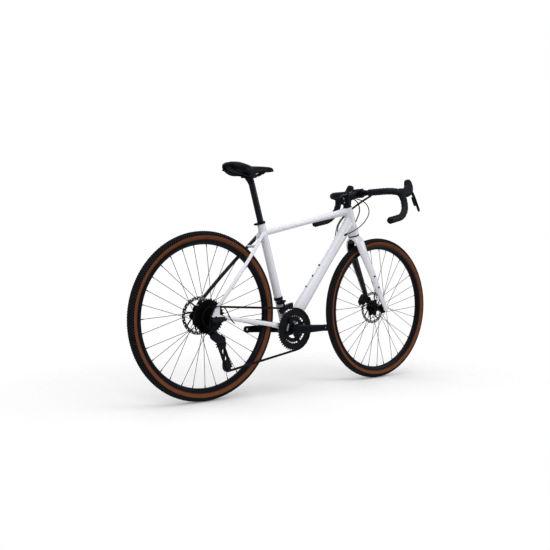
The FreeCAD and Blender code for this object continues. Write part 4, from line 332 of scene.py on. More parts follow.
def finish(name, tone, shade, gloss, cloud=12.0, grain=900.0, bump=0.05, metal=0.0, coat=0.0,
           shine=0.5, tint=(1, 1, 1)):
    """Material of one finish: mottled colour and roughness, with the grain as a fine bump."""
    material = bpy.data.materials.new(name)
    material.use_nodes = True
    tree = material.node_tree
    shader = tree.nodes["Principled BSDF"]
    spots = spots_in(tree, (tone, shade), cloud)
    spots.inputs["Grain Scale"].default_value = grain
    spots.inputs["Smooth"].default_value, spots.inputs["Rough"].default_value = gloss
    dent = tree.nodes.new("ShaderNodeBump")
    dent.inputs["Strength"].default_value = bump
    dent.inputs["Distance"].default_value = 0.0004
    tree.links.new(spots.outputs["Color"], shader.inputs["Base Color"])
    tree.links.new(spots.outputs["Roughness"], shader.inputs["Roughness"])
    tree.links.new(spots.outputs["Height"], dent.inputs["Height"])
    tree.links.new(dent.outputs["Normal"], shader.inputs["Normal"])
    shader.inputs["Metallic"].default_value = metal
    shader.inputs["Coat Weight"].default_value = coat
    shader.inputs["Coat Roughness"].default_value = 0.08
    shader.inputs["Specular IOR Level"].default_value = shine
    shader.inputs["Specular Tint"].default_value = (*tint, 1)
    return material


def layered(material, value, low, high, tones, cloud):
    """Lays a second mottled colour over a material's own, as a value passes from low to high."""
    tree = material.node_tree
    base = tree.nodes["Principled BSDF"].inputs["Base Color"]
    edge = tree.nodes.new("ShaderNodeMapRange")
    edge.interpolation_type = "SMOOTHSTEP"
    edge.inputs["From Min"].default_value = low
    edge.inputs["From Max"].default_value = high
    tree.links.new(value, edge.inputs["Value"])
    mix = tree.nodes.new("ShaderNodeMix")
    mix.data_type = "RGBA"
    tree.links.new(edge.outputs["Result"], mix.inputs["Factor"])
    tree.links.new(base.links[0].from_socket, mix.inputs["A"])
    tree.links.new(spots_in(tree, tones, cloud).outputs["Color"], mix.inputs["B"])
    tree.links.new(mix.outputs["Result"], base)


def by_value(material, name, tones, low, high, cloud=14.0):
    """Second colour where a number kept on the points passes from low to high."""
    read = material.node_tree.nodes.new("ShaderNodeAttribute")
    read.attribute_name = name
    layered(material, read.outputs["Fac"], low, high, tones, cloud)


def by_height(material, tones, low, high, cloud=14.0):
    """Second colour above a height in metres, read from the place on the resting bike."""
    tree = material.node_tree
    place = tree.nodes.new("ShaderNodeTexCoord")
    split = tree.nodes.new("ShaderNodeSeparateXYZ")
    tree.links.new(place.outputs["Object"], split.inputs["Vector"])
    layered(material, split.outputs["Z"], low, high, tones, cloud)


ink, coal = (0.0028, 0.0032, 0.005), (0.0055, 0.0062, 0.0095)
slate = (0.0105, 0.0115, 0.017)
night = (0.72, 0.8, 1.0)
# Lighter grey for the tops of the tread blocks is a painted highlight. The near-black grooves
# beside them act as painted shade.
tread_top_highlight = ((0.038, 0.039, 0.045), (0.026, 0.027, 0.032))
wall_tan = ((0.205, 0.083, 0.038), (0.165, 0.064, 0.029))
ground_steel = ((0.46, 0.46, 0.48), (0.18, 0.18, 0.19))
pale_steel = ((0.48, 0.49, 0.51), (0.38, 0.39, 0.41))
white = {"tone": (0.74, 0.74, 0.79), "shade": (0.71, 0.71, 0.765), "gloss": (0.26, 0.34),
         "cloud": 9, "grain": 1400, "bump": 0.02, "coat": 0.25}
white_paint = finish("white_paint", **white)
by_value(white_paint, "inner_face", (ink, coal), low=0.4, high=0.6)
plain_white = finish("plain_white_paint", **white)
black_alloy = finish("black_alloy", ink, coal, (0.26, 0.40), grain=2200, bump=0.06, shine=0.24,
                     tint=night)
post_alloy = finish("post_alloy", (0.034, 0.038, 0.046), (0.026, 0.029, 0.036), (0.20, 0.28),
                    grain=2200, bump=0.03, metal=0.8)
cassette_steel = finish("cassette_steel", (0.022, 0.022, 0.025), (0.010, 0.010, 0.012),
                        (0.24, 0.42), cloud=60, grain=3000, bump=0.05, metal=0.9)
dark_alloy = finish("dark_alloy", coal, slate, (0.28, 0.42), grain=2200, bump=0.06, metal=0.3,
                    shine=0.4)
bright_steel = finish("bright_steel", (0.42, 0.43, 0.45), (0.30, 0.31, 0.33), (0.22, 0.40),
                      cloud=40, grain=3000, bump=0.05, metal=1.0)
spoke_steel = finish("spoke_steel", ink, coal, (0.3, 0.45), cloud=30, grain=3000, bump=0.03,
                     shine=0.25)
dark_steel = finish("dark_steel", coal, slate, (0.28, 0.45), cloud=40, grain=3000, bump=0.05,
                    metal=0.4, shine=0.35)
chain_steel = finish("chain_steel", (0.03, 0.03, 0.033), (0.012, 0.012, 0.014), (0.30, 0.5),
                     cloud=60, grain=3000, bump=0.05, metal=0.8)
hood_rubber = finish("hood_rubber", ink, coal, (0.55, 0.72), grain=1600, bump=0.25, shine=0.35,
                     tint=night)
cable_sheath = finish("cable_sheath", ink, coal, (0.35, 0.5), grain=1800, bump=0.05, shine=0.3)
black_plastic = finish("black_plastic", ink, coal, (0.42, 0.58), grain=1500, bump=0.12, shine=0.3,
                       tint=night)
pad_cover = finish("pad_cover", ink, coal, (0.32, 0.46), cloud=20, grain=700, bump=0.05, shine=0.2,
                   tint=night)
tape_cloth = finish("tape_cloth", ink, coal, (0.50, 0.70), cloud=30, grain=1700, bump=0.3,
                    shine=0.45, tint=night)
tyre_rubber = finish("tyre_rubber", (0.0015, 0.0015, 0.002), (0.003, 0.003, 0.0035), (0.6, 0.8),
                     cloud=18, grain=900, bump=0.25, shine=0.08)
# Painted highlight on the tread: block tops are lighter grey, and grooves and seams stay near-black
# as painted shade.
by_value(tyre_rubber, "block_top_highlight", tread_top_highlight, low=0.2, high=0.8, cloud=40.0)
by_value(tyre_rubber, "side_wall", wall_tan, low=0.4, high=0.6, cloud=55.0)
bolt_steel = finish("bolt_steel", coal, slate, (0.25, 0.4), grain=3000, bump=0.03, metal=0.8)


def rotor_finish(name, axle):
    """Black carrier and arms inside a braking band of ground steel, told apart by the distance
    from the axle."""
    material = finish(name, coal, slate, (0.25, 0.42), cloud=40, grain=3000, bump=0.05, metal=0.9)
    tree = material.node_tree
    place = tree.nodes.new("ShaderNodeTexCoord")
    flat = tree.nodes.new("ShaderNodeMapping")
    flat.inputs["Location"].default_value = [-v * MM for v in axle]
    flat.inputs["Scale"].default_value = (1, 0, 1)
    reach = tree.nodes.new("ShaderNodeVectorMath")
    reach.operation = "LENGTH"
    tree.links.new(place.outputs["Object"], flat.inputs["Vector"])
    tree.links.new(flat.outputs["Vector"], reach.inputs[0])
    layered(material, reach.outputs["Value"], low=0.065, high=0.066, tones=ground_steel, cloud=70.0)
    return material


drop_paint = finish("drop_paint", **{**white, "tone": ink, "shade": coal})
by_height(drop_paint, (white["tone"], white["shade"]), low=0.352, high=0.353)
by_height(bolt_steel, pale_steel, low=0.74, high=0.76, cloud=90.0)

by_slot = {
    "frame_paint": plain_white, "black_alloy": black_alloy, "dark_alloy": dark_alloy,
    "steel": bright_steel, "dark_steel": dark_steel, "tyre": tyre_rubber, "tape": tape_cloth,
    "hood_rubber": hood_rubber, "cable_sheath": cable_sheath, "pad_cover": pad_cover,
    "black_plastic": black_plastic,
}
by_node = {
    "chain": chain_steel, "front_spokes": spoke_steel, "rear_spokes": spoke_steel,
    "front_rotor": rotor_finish("front_rotor_steel", front_axle),
    "rear_rotor": rotor_finish("rear_rotor_steel", rear_axle),
    "steering_bolts": bolt_steel, "dropouts": drop_paint, "seatpost": post_alloy,
    "cassette": cassette_steel,
}
for entry in frame["record"]["subparts"]:
    finishes = nodes[entry["node"]].data.materials
    finishes.clear()
    finishes.append(by_node.get(entry["node"], by_slot[entry["material_slot"]]))


# tyres
def tyre(name, centre, body, node):
    """Ring whose section is most of a circle of 20 mm radius. Its crown carries rows of blocks: the
    radius sinks in the gaps of a wave round the wheel, shifted by half a wave in every second row,
    and along the seams between the rows. A flat foot closes the section inside the rim."""
    around, arc = 1600, 48
    ring_radius, section_radius, section_reach = 330.0, 19.95, 143
    row_width, blocks_round, block_depth = np.radians(24), 200, 2.8
    gap_shift, gap_slope, seam_slope = 0.15, 3, 7
    tread_edge, tread_fade = np.radians(82), np.radians(6)
    wall_edge, wall_fade, wall_step = np.radians(83), np.radians(4), 1.2
    foot_radius, foot_half = 311.4, 11.4
    turn = full_turn(around)
    lean = np.radians(np.linspace(-section_reach, section_reach, arc))
    t, p = np.meshgrid(turn, lean, indexing="ij")
    row = np.abs(p) / row_width
    odd = np.floor(row + 0.5) % 2
    wave = np.cos(blocks_round * t + odd * np.pi)
    gap = np.clip((wave + gap_shift) * gap_slope, 0, 1)
    seam = np.clip(1 - np.abs(row - np.floor(row) - 0.5) * seam_slope, 0, 1)
    tread = np.clip((tread_edge - np.abs(p)) / tread_fade, 0, 1)
    low = tread * np.maximum(gap, seam)
    size = section_radius - low * block_depth - (1 - tread) * wall_step
    foot = np.ones((around, 2))
    radius = np.concatenate([ring_radius + size * np.cos(p), foot * foot_radius], 1)
    across = np.concatenate([size * np.sin(p), foot * (foot_half, -foot_half)], 1)
    turns = turn[:, None]
    points = np.stack([centre[0] + radius * np.cos(turns), across,
                       centre[2] + radius * np.sin(turns)], -1)
    mesh = new_mesh(name, points.reshape(-1, 3), grid_faces(around, arc + 2, True))
    wall = np.clip((np.abs(p) - wall_edge) / wall_fade, 0, 1)
    add_value(mesh, "side_wall", np.concatenate([wall, foot], 1))
    # Share of painted highlight at each point: full on the tops of the tread blocks, none in the
    # grooves, seams and walls.
    add_value(mesh, "block_top_highlight", np.concatenate([tread * (1 - low), 0 * foot], 1))
    piece = new_piece(name, mesh, tyre_rubber)
    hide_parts(node)
    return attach(piece, body)


tyre("front_tyre_skin", front_axle, "front_wheel", "front_tyre")
tyre("rear_tyre_skin", rear_axle, "rear_wheel", "rear_tyre")


# rotor spiders
def rotor_spider(name, axle, place, body):
    """Star-shaped carrier of a rotor: a thin plate whose edge is a circle that swells to six
    rounded points."""
    around, arms, waist, swell = 144, 6, 35.0, 11.0
    turn = full_turn(around)
    edge = waist + swell * np.abs(np.cos(arms / 2 * turn)) ** 2
    share = np.array((0.35, 0.96, 1.0, 1.0, 0.96, 0.35))[:, None]
    across = place + np.array((-1.5, -1.5, -1.1, 1.1, 1.5, 1.5))[:, None]
    rings = np.stack([axle[0] + share * edge * np.cos(turn), across + 0 * turn,
                      axle[2] + share * edge * np.sin(turn)], -1)
    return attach(closed_piece(name, closed_tube(rings), black_alloy), body)


rotor_spider("front_rotor_spider", front_axle, 34.7, "front_wheel")
rotor_spider("rear_rotor_spider", rear_axle, 50.7, "rear_wheel")


# frame and fork skins
def straight(p, q, shares, widths, heights):
    """Straight elliptic tube: its width and height ease through the stations along it."""
    steps, power = 60, 1.0
    t = np.linspace(0, 1, steps)
    path = p + (q - p) * t[:, None]
    return closed_tube(tube_rings(path, eased(t, shares, widths), eased(t, shares, heights), power))


def curved(points, widths, heights, power, steps=70, side=None):
    """Tube of squared ellipses whose middle line eases through its points."""
    points = np.asarray(points, float)
    s = distances(points)
    t = np.linspace(0, s[-1], steps)
    path = np.stack([eased(t, s, points[:, k]) for k in range(3)], -1)
    return closed_tube(
        tube_rings(path, eased(t, s, widths), eased(t, s, heights), power, side=side))


def round_bar(p, q, first, last, side=None):
    """Straight round bar whose diameter passes evenly from first to last."""
    steps, around, power = 12, 64, 1.0
    path = p + (q - p) * np.linspace(0, 1, steps)[:, None]
    size = np.linspace(first, last, steps)
    return closed_tube(tube_rings(path, size, size, power, around, side))


def frame_skin():
    """Frame tubes as closed tubes, joined into one skin with faired joints. The inner faces of the
    left seatstay are black."""
    head_low, head_high, head_low_size, head_high_size = 4.0, 144.0, 54.0, 44.0
    seat_high, seat_size, shell_half, shell_size, bridge_size = 488.0, 35.0, 34, 54.0, 13.0
    top_on_seat, top_on_head, down_on_head, stays_on_seat = 443.0, 126.0, 77.5, 449.0
    stay_end_ahead, stay_end_up = 9.0, 42.0
    chainstay_gap, chainstay_lift, chainstay_power = 44.0, 7.5, 0.8
    seatstay_power, bridge_share = 0.9, 0.2
    seatstay_root, seatstay_bow, seatstay_end = 10.0, 67.3, 75.0
    black_from, black_behind, black_above, inward = 8, -248, 395, -0.25
    cell, passes = 2.3, 6
    parts = [
        round_bar(on_head(head_low), on_head(head_high), head_low_size, head_high_size),
        round_bar(on_seat(0.0), on_seat(seat_high), seat_size, seat_size),
        round_bar(crank_centre - LEFT * shell_half, crank_centre + LEFT * shell_half,
                  shell_size, shell_size, UP),
        straight(on_seat(top_on_seat), on_head(top_on_head), shares=(0.0, 0.25, 0.6, 0.85, 0.97),
                 widths=(27, 28, 28, 34, 34), heights=(28, 25.5, 25.5, 32.5, 38)),
        straight(crank_centre, on_head(down_on_head), shares=(0.0, 0.14, 0.68, 0.86, 1.0),
                 widths=(52, 54, 47, 47, 43), heights=(48, 55, 47, 53.7, 67)),
    ]
    stay_end = rear_axle + unit(crank_centre - rear_axle) * chainstay_gap
    top, end = on_seat(stays_on_seat), rear_axle + AHEAD * stay_end_ahead + UP * stay_end_up
    bridge = []
    for side in (-1, 1):
        line = []
        for share, place in ((0.0, 26.0), (0.22, 33.5), (0.55, 50.0), (1.0, 75.0)):
            middle = crank_centre + (stay_end - crank_centre) * share
            line.append(middle + UP * chainstay_lift + LEFT * side * place)
        parts.append(curved(line, widths=(17, 17, 17, 9), heights=(28, 22.4, 20, 15),
                            power=chainstay_power))
        t = np.array((0.0, 0.17, 0.34, 0.56, 0.8, 1.0))
        place = (1 - t) ** 2 * seatstay_root + 2 * (1 - t) * t * seatstay_bow + t * t * seatstay_end
        line = top + (end - top) * t[:, None] + LEFT * (side * place)[:, None]
        parts.append(curved(line, widths=(12, 12, 12, 12, 12, 8), heights=(22, 17, 17, 17, 17, 17),
                            power=seatstay_power))
        bridge.append(line[1] + (line[2] - line[1]) * bridge_share)
    parts.append(round_bar(bridge[0], bridge[1], bridge_size, bridge_size, UP))
    mesh = smooth_union("frame_skin", parts, cell, passes)
    place, normal = points_of(mesh)
    left_stay = (place[:, 1] > black_from) & (place[:, 0] < black_behind)
    left_stay = left_stay & (place[:, 2] > black_above)
    add_value(mesh, "inner_face", left_stay & (normal[:, 1] < inward))
    piece = new_piece("frame_skin", mesh, white_paint)
    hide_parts("head_tube", "top_tube", "down_tube", "seat_tube", "bottom_bracket_shell",
                "chainstays", "seatstays")
    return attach(piece, "frame")


def fork_skin():
    """Fork as one skin: each leg is a run of squared ellipses that leaves the crown sideways and
    bends down into its blade. A round boss stands under the headset, and an eye goes round the
    axle. The inner faces and the arch over the tyre are black."""
    boss_low, boss_size = -30.0, 53.0
    foot_side, eye_size, eye_inner, eye_outer = 55.8, 26.5, 50.3, 61.3
    leg_power, leg_steps, cell, passes = 0.85, 160, 1.9, 6
    inner_low, inner_high, inward = 372, 668, -0.25
    arch_half, arch_top, arch_run, forward = 24, 9, 16, 0.5
    parts = [round_bar(on_head(boss_low), on_head(0.0), boss_size, boss_size)]
    place = np.array((0.0, 11.0, 21.0, 29.5, 35.0, 38.2))
    fall = np.array((12.0, 13.0, 18.5, 30.0, 46.0, 66.0))
    share = np.array((0.15, 0.32, 0.52, 0.72, 0.88, 0.965))
    leg_widths = (50, 51, 52, 52, 51.5, 50, 45, 40, 35, 30, 26, 25)
    leg_heights = (24, 25, 26, 26.5, 25, 23.5, 21.5, 20, 18.2, 16, 13.5, 11)
    for side in (-1, 1):
        shoulder = on_head(0.0) - head_up * fall[:, None] + LEFT * (side * place)[:, None]
        foot = front_axle + LEFT * side * foot_side
        blade = shoulder[-1] + (foot - shoulder[-1]) * share[:, None]
        parts.append(curved(np.concatenate([shoulder, blade]), leg_widths, leg_heights,
                            leg_power, leg_steps, head_ahead))
        parts.append(round_bar(front_axle + LEFT * side * eye_inner,
                               front_axle + LEFT * side * eye_outer, eye_size, eye_size, UP))
    mesh = smooth_union("fork_skin", parts, cell, passes)
    place, normal = points_of(mesh)
    inner = normal[:, 1] * np.sign(place[:, 1]) < inward
    inner = inner & (place[:, 2] < inner_high) & (place[:, 2] > inner_low)
    fall = (fork_top - place) @ head_up
    arch = np.abs(place[:, 1]) < arch_half * np.sqrt(np.clip((fall - arch_top) / arch_run, 0, 1))
    add_value(mesh, "inner_face", inner | (arch & (normal @ head_ahead < forward)))
    piece = new_piece("fork_skin", mesh, white_paint)
    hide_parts("fork_crown", "fork_blades")
    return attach(piece, "steering")


frame_skin()
fork_skin()


# saddle
def saddle():
    """Pad lofted through cross outlines. Each outline is a closed smooth curve through eleven
    points a side: channel, crown, brow, side, lip and hollow, scaled by the half width and skirt at
    its place."""
    rear, length, half_width, height, depth = -430.0, 259.0, 67.0, 992.0, 48.0
    channel_depth, groove_most, groove_share = 6.0, 13.0, 0.3
    bank_out, bank_fall, crown_fall, hollow_out, hollow_fall = 0.6, 0.5, 0.005, 0.62, 0.46
    side_shares = ((0.58, 0.07), (0.82, 0.20), (0.95, 0.40), (1.0, 0.66), (0.97, 0.88), (0.90, 1.0))
    end_share, end_size, steps, fine = 0.012, 0.3, 130, 6
    share = (0.0, 0.06, 0.15, 0.32, 0.5, 0.65, 0.8, 0.95, 1.0)
    t = (1 - np.cos(np.linspace(0, np.pi, steps))) / 2
    half = half_width * eased(t, share, (0.18, 0.54, 0.88, 1.0, 0.60, 0.38, 0.30, 0.24, 0.11))
    drop = eased(t, share, (0.30, 0.09, 0.0, 0.09, 0.20, 0.15, 0.10, 0.12, 0.20))
    top = height - depth * drop
    skirt = depth * eased(t, share, (0.22, 0.43, 0.72, 0.95, 0.78, 0.60, 0.46, 0.38, 0.27))
    hollow = eased(t, share, (0.14, 0.24, 0.35, 0.437, 0.395, 0.372, 0.322, 0.274, 0.194))
    under = depth * hollow
    channel = channel_depth * eased(t, share, (0.05, 0.3, 0.7, 1.0, 1.0, 0.8, 0.5, 0.15, 0.05))
    groove = np.minimum(groove_most, half * groove_share)
    zero = np.zeros_like(t)
    outline = [(zero, top - channel), (groove * bank_out, top - channel * bank_fall),
               (groove, top - skirt * crown_fall)]
    outline += [(half * out, top - skirt * fall) for out, fall in side_shares]
    outline += [(half * hollow_out, top - under - (skirt - under) * hollow_fall),
                (zero, top - under)]
    y = np.stack([o[0] for o in outline], -1)
    z = np.stack([o[1] for o in outline], -1)
    y = np.concatenate([y, -y[:, -2:0:-1]], 1)
    z = np.concatenate([z, z[:, -2:0:-1]], 1)
    count = y.shape[1]
    step = np.arange(count * fine) / fine
    i = step.astype(int)
    f = step - i

    def around(v):
        """Closed cubic curve through values: its slope at each is half the chord beside it."""
        a, b, c, d = [v[:, (i + k) % count] for k in (-1, 0, 1, 2)]
        bend = a - 2.5 * b + 2 * c - d / 2 + f * (1.5 * (b - c) + (d - a) / 2)
        return b + f * ((c - a) / 2 + f * bend)

    y, z = around(y), around(z)
    middle = z.mean(1, keepdims=True)
    close = np.clip(np.minimum(t, 1 - t) / end_share, 0, 1)[:, None]
    close = np.sqrt(1 - (1 - close) ** 2) * (1 - end_size) + end_size
    x = np.broadcast_to((rear + length * t)[:, None], y.shape)
    rings = np.stack([x, y * close, middle + (z - middle) * close], -1)
    piece = closed_piece("saddle_cover", closed_tube(rings), pad_cover)
    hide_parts("saddle_pad")
    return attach(piece, "seatpost")


saddle()


# bar tape
def bar_line(side):
    """Middle line of the bar: straight runs joined by short parabolas, in the leaning plane of one
    drop past the corner."""
    drop_reach, drop_fall, tape_start = 80.0, 149.0, 68.0
    bend_reach, bend_keep, bend_pull, bend_steps = 0.45, 0.94, 0.03, 14
    lean_up = lean_ways(side)[0]
    ahead = drop_reach * np.array((0.0, 0.22, 0.78, 0.99, 0.92, 0.48, -0.65))
    fall = drop_fall * np.array((0.0, 0.0, 0.02, 0.24, 0.57, 0.85, 1.0))
    out = bar_half * np.array((0.83, 0.965, 1.0, 1.0, 1.0, 1.0, 1.0))
    corner = bar_centre + AHEAD * ahead[:, None] - lean_up * fall[:, None]
    corner = corner + LEFT * (side * out)[:, None]
    corner = np.concatenate([[bar_centre + LEFT * side * tape_start], corner])
    s = np.linspace(0, 1, bend_steps)[:, None]
    line = [corner[0]]
    for a, p, b in zip(corner, corner[1:], corner[2:]):
        reach = bend_reach * min(np.linalg.norm(a - p), np.linalg.norm(b - p))
        start, stop = p + unit(a - p) * reach, p + unit(b - p) * reach
        pull = p * bend_keep + (start + stop) * bend_pull
        line.extend((1 - s) ** 2 * start + 2 * (1 - s) * s * pull + s ** 2 * stop)
    line.append(corner[-1])
    return np.array(line)


def even(line, step):
    """Points at an even distance along a line, and those distances."""
    s = distances(line)
    t = np.linspace(0, s[-1], int(s[-1] / step))
    return np.stack([np.interp(t, s, line[:, k]) for k in range(3)], -1), t


def bar_tape(side, name):
    """Tape wound round the bar: the radius climbs by a step over each turn of a spiral and drops at
    its edge."""
    step, around, lap_width, radius, lap_height = 1.6, 36, 21.0, 14.9, 1.1
    climb, drop = 0.93, 0.07
    end_run, end_size, end_swell = 3.0, 0.93, 0.07
    line, run = even(bar_line(side), step)
    one, two = carried(line)
    s, a = np.meshgrid(run, full_turn(around), indexing="ij")
    lap = (s / lap_width + side * a / (2 * np.pi)) % 1.0
    lift = np.where(lap < climb, lap / climb, (1 - lap) / drop)
    size = radius + lap_height * lift
    ends = np.clip(np.minimum(run, run[-1] - run) / end_run, 0, 1)[:, None]
    size = size * (end_size + end_swell * np.sqrt(1 - (1 - ends) ** 2))
    rim = np.cos(a)[..., None] * one[:, None, :] + np.sin(a)[..., None] * two[:, None, :]
    rings = line[:, None, :] + size[..., None] * rim
    piece = closed_piece(name, closed_tube(rings), tape_cloth)
    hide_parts("bar_tape")
    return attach(piece, "steering")


bar_tape(1, "tape_left")
bar_tape(-1, "tape_right")


# lever hoods
def hood(side, name):
    """Rubber cover of a lever: squared ellipses whose middle runs ahead and then up, with sizes
    eased through eight stations and a domed end. Between its cheeks the front is pressed back to a
    flat notch, where the lever hangs."""
    stations, steps, around, power = 8, 150, 96, 0.8
    reach, height, half_depth, half_width = 136.5, 66.0, 25.0, 18.5
    dome_start, dome_run = 0.93, 0.072
    notch_half, notch_side, notch_top, notch_brow, notch_face = 9.2, 1.2, 32.0, 2.0, 130.5
    lean_up, lean_out = lean_ways(side)
    share, t = np.linspace(0, 1, stations), np.linspace(0, 1, steps)
    run = reach * eased(t, share, (0.44, 0.60, 0.78, 0.92, 0.99, 1.0, 1.0, 1.0))
    rise = height * eased(t, share, (-0.04, -0.06, 0.0, 0.18, 0.45, 0.73, 0.92, 1.0))
    tilt = np.pi / 2 * eased(t, share, (0.0, 0.0, 0.15, 0.45, 0.80, 1.0, 1.0, 1.0))
    dome = np.sqrt(1 - np.clip((t - dome_start) / dome_run, 0, 1) ** 2)
    deep = half_depth * dome * eased(t, share, (0.70, 0.84, 0.92, 0.98, 0.86, 0.74, 0.58, 0.34))
    wide = half_width * dome * eased(t, share, (0.94, 0.98, 1.0, 1.0, 0.97, 0.90, 0.70, 0.42))
    c, s = squared(full_turn(around), power)
    out = wide[:, None] * c
    up = rise[:, None] + deep[:, None] * s * np.cos(tilt)[:, None]
    ahead = run[:, None] - deep[:, None] * s * np.sin(tilt)[:, None]
    notch = np.clip((notch_half - np.abs(out)) / notch_side, 0, 1)
    notch = notch * np.clip((notch_top - up) / notch_brow, 0, 1)
    ahead = ahead - notch * np.maximum(ahead - notch_face, 0)
    rings = bar_centre + LEFT * side * bar_half + ahead[..., None] * AHEAD
    rings = rings + up[..., None] * lean_up + out[..., None] * lean_out
    piece = closed_piece(name, closed_tube(rings), hood_rubber)
    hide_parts("lever_hoods")
    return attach(piece, "steering")


hood(1, "hood_left")
hood(-1, "hood_right")


# cables
def spline_line(route):
    """Points read from the smooth spline that has the route's points as its control points."""
    curve = bpy.data.curves.new("route", "CURVE")
    curve.dimensions = "3D"
    spline = curve.splines.new("NURBS")
    spline.points.add(len(route) - 1)
    weighted = np.concatenate([np.array(route) * MM, np.ones((len(route), 1))], 1)
    spline.points.foreach_set("co", weighted.ravel())
    spline.order_u = 3
    spline.use_endpoint_u = True
    spline.resolution_u = 12
    rough = put("route", curve)
    mesh = as_mesh(rough)
    line = np.zeros(len(mesh.vertices) * 3, np.float32)
    mesh.vertices.foreach_get("co", line)
    bpy.data.objects.remove(rough)
    bpy.data.meshes.remove(mesh)
    return line.reshape(-1, 3).astype(float) / MM


def sheath(name, line, sizes):
    """Round tube: circles of the given diameters, square to a line and carried along it."""
    around = 20
    one, two = carried(line)
    turn = full_turn(around)[None, :, None]
    rim = np.cos(turn) * one[:, None, :] + np.sin(turn) * two[:, None, :]
    rings = line[:, None, :] + np.asarray(sizes)[:, None, None] / 2 * rim
    return closed_piece(name, closed_tube(rings), cable_sheath)


def housing(name, route, diameter):
    """Cable of one diameter along the smooth spline of its route."""
    line = spline_line(route)
    return sheath(name, line, np.full(len(line), diameter))


hose_size, housing_size = 5.0, 4.2
grommet_places = np.array((-16.0, -9.0, -5.0, -2.0, -0.6, 0.6, 1.4))
grommet_sizes = (9.0, 9.0, 9.0, 9.0, 8.4, 7.6, 6.2)
front_hose = housing("front_hose", [
    (372, 66, 900), (388, 42, 888), (401, 29, 860), (396, 19, 828),
    (379, 19, 797), (371, 30, 762), (376, 44, 728), (384, 49, 690)], hose_size)
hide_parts("steering_cables")
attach(front_hose, "steering")
crossing = (
    ("rear_hose", hose_size, [
        (381, -72, 899), (362, -43, 878), (336, -11, 849), (319, 23, 820),
        (298, 38, 791), (274, 39, 764), (256, 32, 736), (247, 21, 712)]),
    ("front_shift_housing", housing_size, [
        (376, 70, 900), (402, 38, 892), (424, 12, 876), (431, -8, 848), (419, -22, 818),
        (392, -32, 790), (358, -38, 762), (320, -38, 739), (287, -34, 722), (264, -25, 712)]),
    ("rear_shift_housing", housing_size, [
        (376, -70, 900), (362, -39, 882), (338, -7, 853), (319, 27, 824),
        (298, 42, 796), (272, 43, 767), (252, 36, 735), (236, 24, 700)]),
)
for name, diameter, route in crossing:
    piece = housing(name, route, diameter)
    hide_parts("steering_cables")
    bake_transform(piece)
    end, before = np.array(route[-1], float), np.array(route[-2], float)
    line = end + unit(before - end) * grommet_places[:, None]
    grommet = sheath(name + "_grommet", line, grommet_sizes)
    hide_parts("frame_cables")
    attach(grommet, "frame")
derailleur_housing = housing("derailleur_housing", [
    (-416, -66, 322), (-434, -72, 333), (-451, -78, 353), (-467, -84, 378), (-490, -88, 396),
    (-518, -90, 398), (-541, -92, 381), (-552, -92, 354), (-552, -88, 326), (-545, -80, 306)],
    housing_size)
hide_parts("frame_cables")
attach(derailleur_housing, "frame")


# rear derailleur
def pebble(centre, ways, halves, power):
    """Closed rounded block: a ball whose sines and cosines are raised to a power, stretched along
    three directions."""
    rows, around = 20, 40
    rises = np.linspace(-np.pi / 2, np.pi / 2, rows)[1:-1]
    rise, turn = np.meshgrid(rises, full_turn(around), indexing="ij")
    (cr, sr), (ct, st) = squared(rise, power), squared(turn, power)
    a, b, c = [np.asarray(w) * h for w, h in zip(ways, halves)]
    return closed_tube(
        centre + (cr * ct)[..., None] * a + (cr * st)[..., None] * b + sr[..., None] * c)


def link_cover():
    """Outer plate of the swinging link: a wide rounded plate on a pad that stands on the link."""
    name, fall, lean = "derailleur_link_cover", math.radians(35.0), 0.88
    pivot, half_link = rear_axle + np.array([-13.0, -72.0, -60.0]), 23.0
    plate_out, plate_halves, plate_power = 16.5, (30.0, 19.0, 4.0), 0.6
    pad_drop, pad_out, pad_halves, pad_power = 8.5, 10.5, (11.0, 4.0, 4.5), 0.4
    along = np.array([math.cos(fall), 0.0, -math.sin(fall)])
    across = unit(np.array([-math.sin(fall), lean, -math.cos(fall)]))
    axis = np.cross(along, across)
    ways = (along, across, axis)
    middle = pivot + along * half_link
    plate = pebble(middle - axis * plate_out, ways, plate_halves, plate_power)
    pad = pebble(middle - across * pad_drop - axis * pad_out, ways, pad_halves, pad_power)
    count = len(plate[0])
    shape = [np.concatenate([plate[k], pad[k] + (count if k else 0)]) for k in range(3)]
    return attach(closed_piece(name, shape, black_alloy), "derailleur_outer_link")


link_cover()


# stem clamp
def turned(centre, axis, places, sizes):
    """Shape turned about an axis: circles of the given diameters at the given places along it."""
    around = 28
    one = unit(np.cross(axis, UP))
    turn = full_turn(around)[None, :, None]
    rim = np.cos(turn) * one + np.sin(turn) * np.cross(axis, one)
    places, sizes = np.array(places)[:, None, None], np.array(sizes)[:, None, None]
    return closed_tube(centre + places * axis + sizes / 2 * rim)


def stem_clamp():
    """Two rounded ears behind the steerer with a slit between them, and two socket bolts that draw
    them together."""
    clamp_height, clamp_back = 183.0, 20.5
    ear_side, ear_halves, ear_power = 6.6, (7.5, 5.6, 18.5), 0.45
    bolt_lift, bolt_back, bolt_side = 9.5, 1.5, 11.0
    bolt_places = (0, 0.3, 2.6, 3.2, 3.2, 1.0, 1.0)
    bolt_sizes = (8.0, 8.4, 8.4, 7.4, 4.2, 4.0, 0.4)
    ways = (head_ahead, LEFT, head_up)
    middle = on_head(clamp_height) - head_ahead * clamp_back
    for name, side in (("left", 1), ("right", -1)):
        shape = pebble(middle + LEFT * side * ear_side, ways, ear_halves, ear_power)
        ear = closed_piece("stem_ear_" + name, shape, black_alloy)
        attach(ear, "steering")
    for name, lift in (("low", -bolt_lift), ("high", bolt_lift)):
        seat = middle - head_ahead * bolt_back + head_up * lift - LEFT * bolt_side
        shape = turned(seat, -LEFT, bolt_places, bolt_sizes)
        bolt = closed_piece("stem_bolt_" + name, shape, bright_steel)
        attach(bolt, "steering")


stem_clamp()


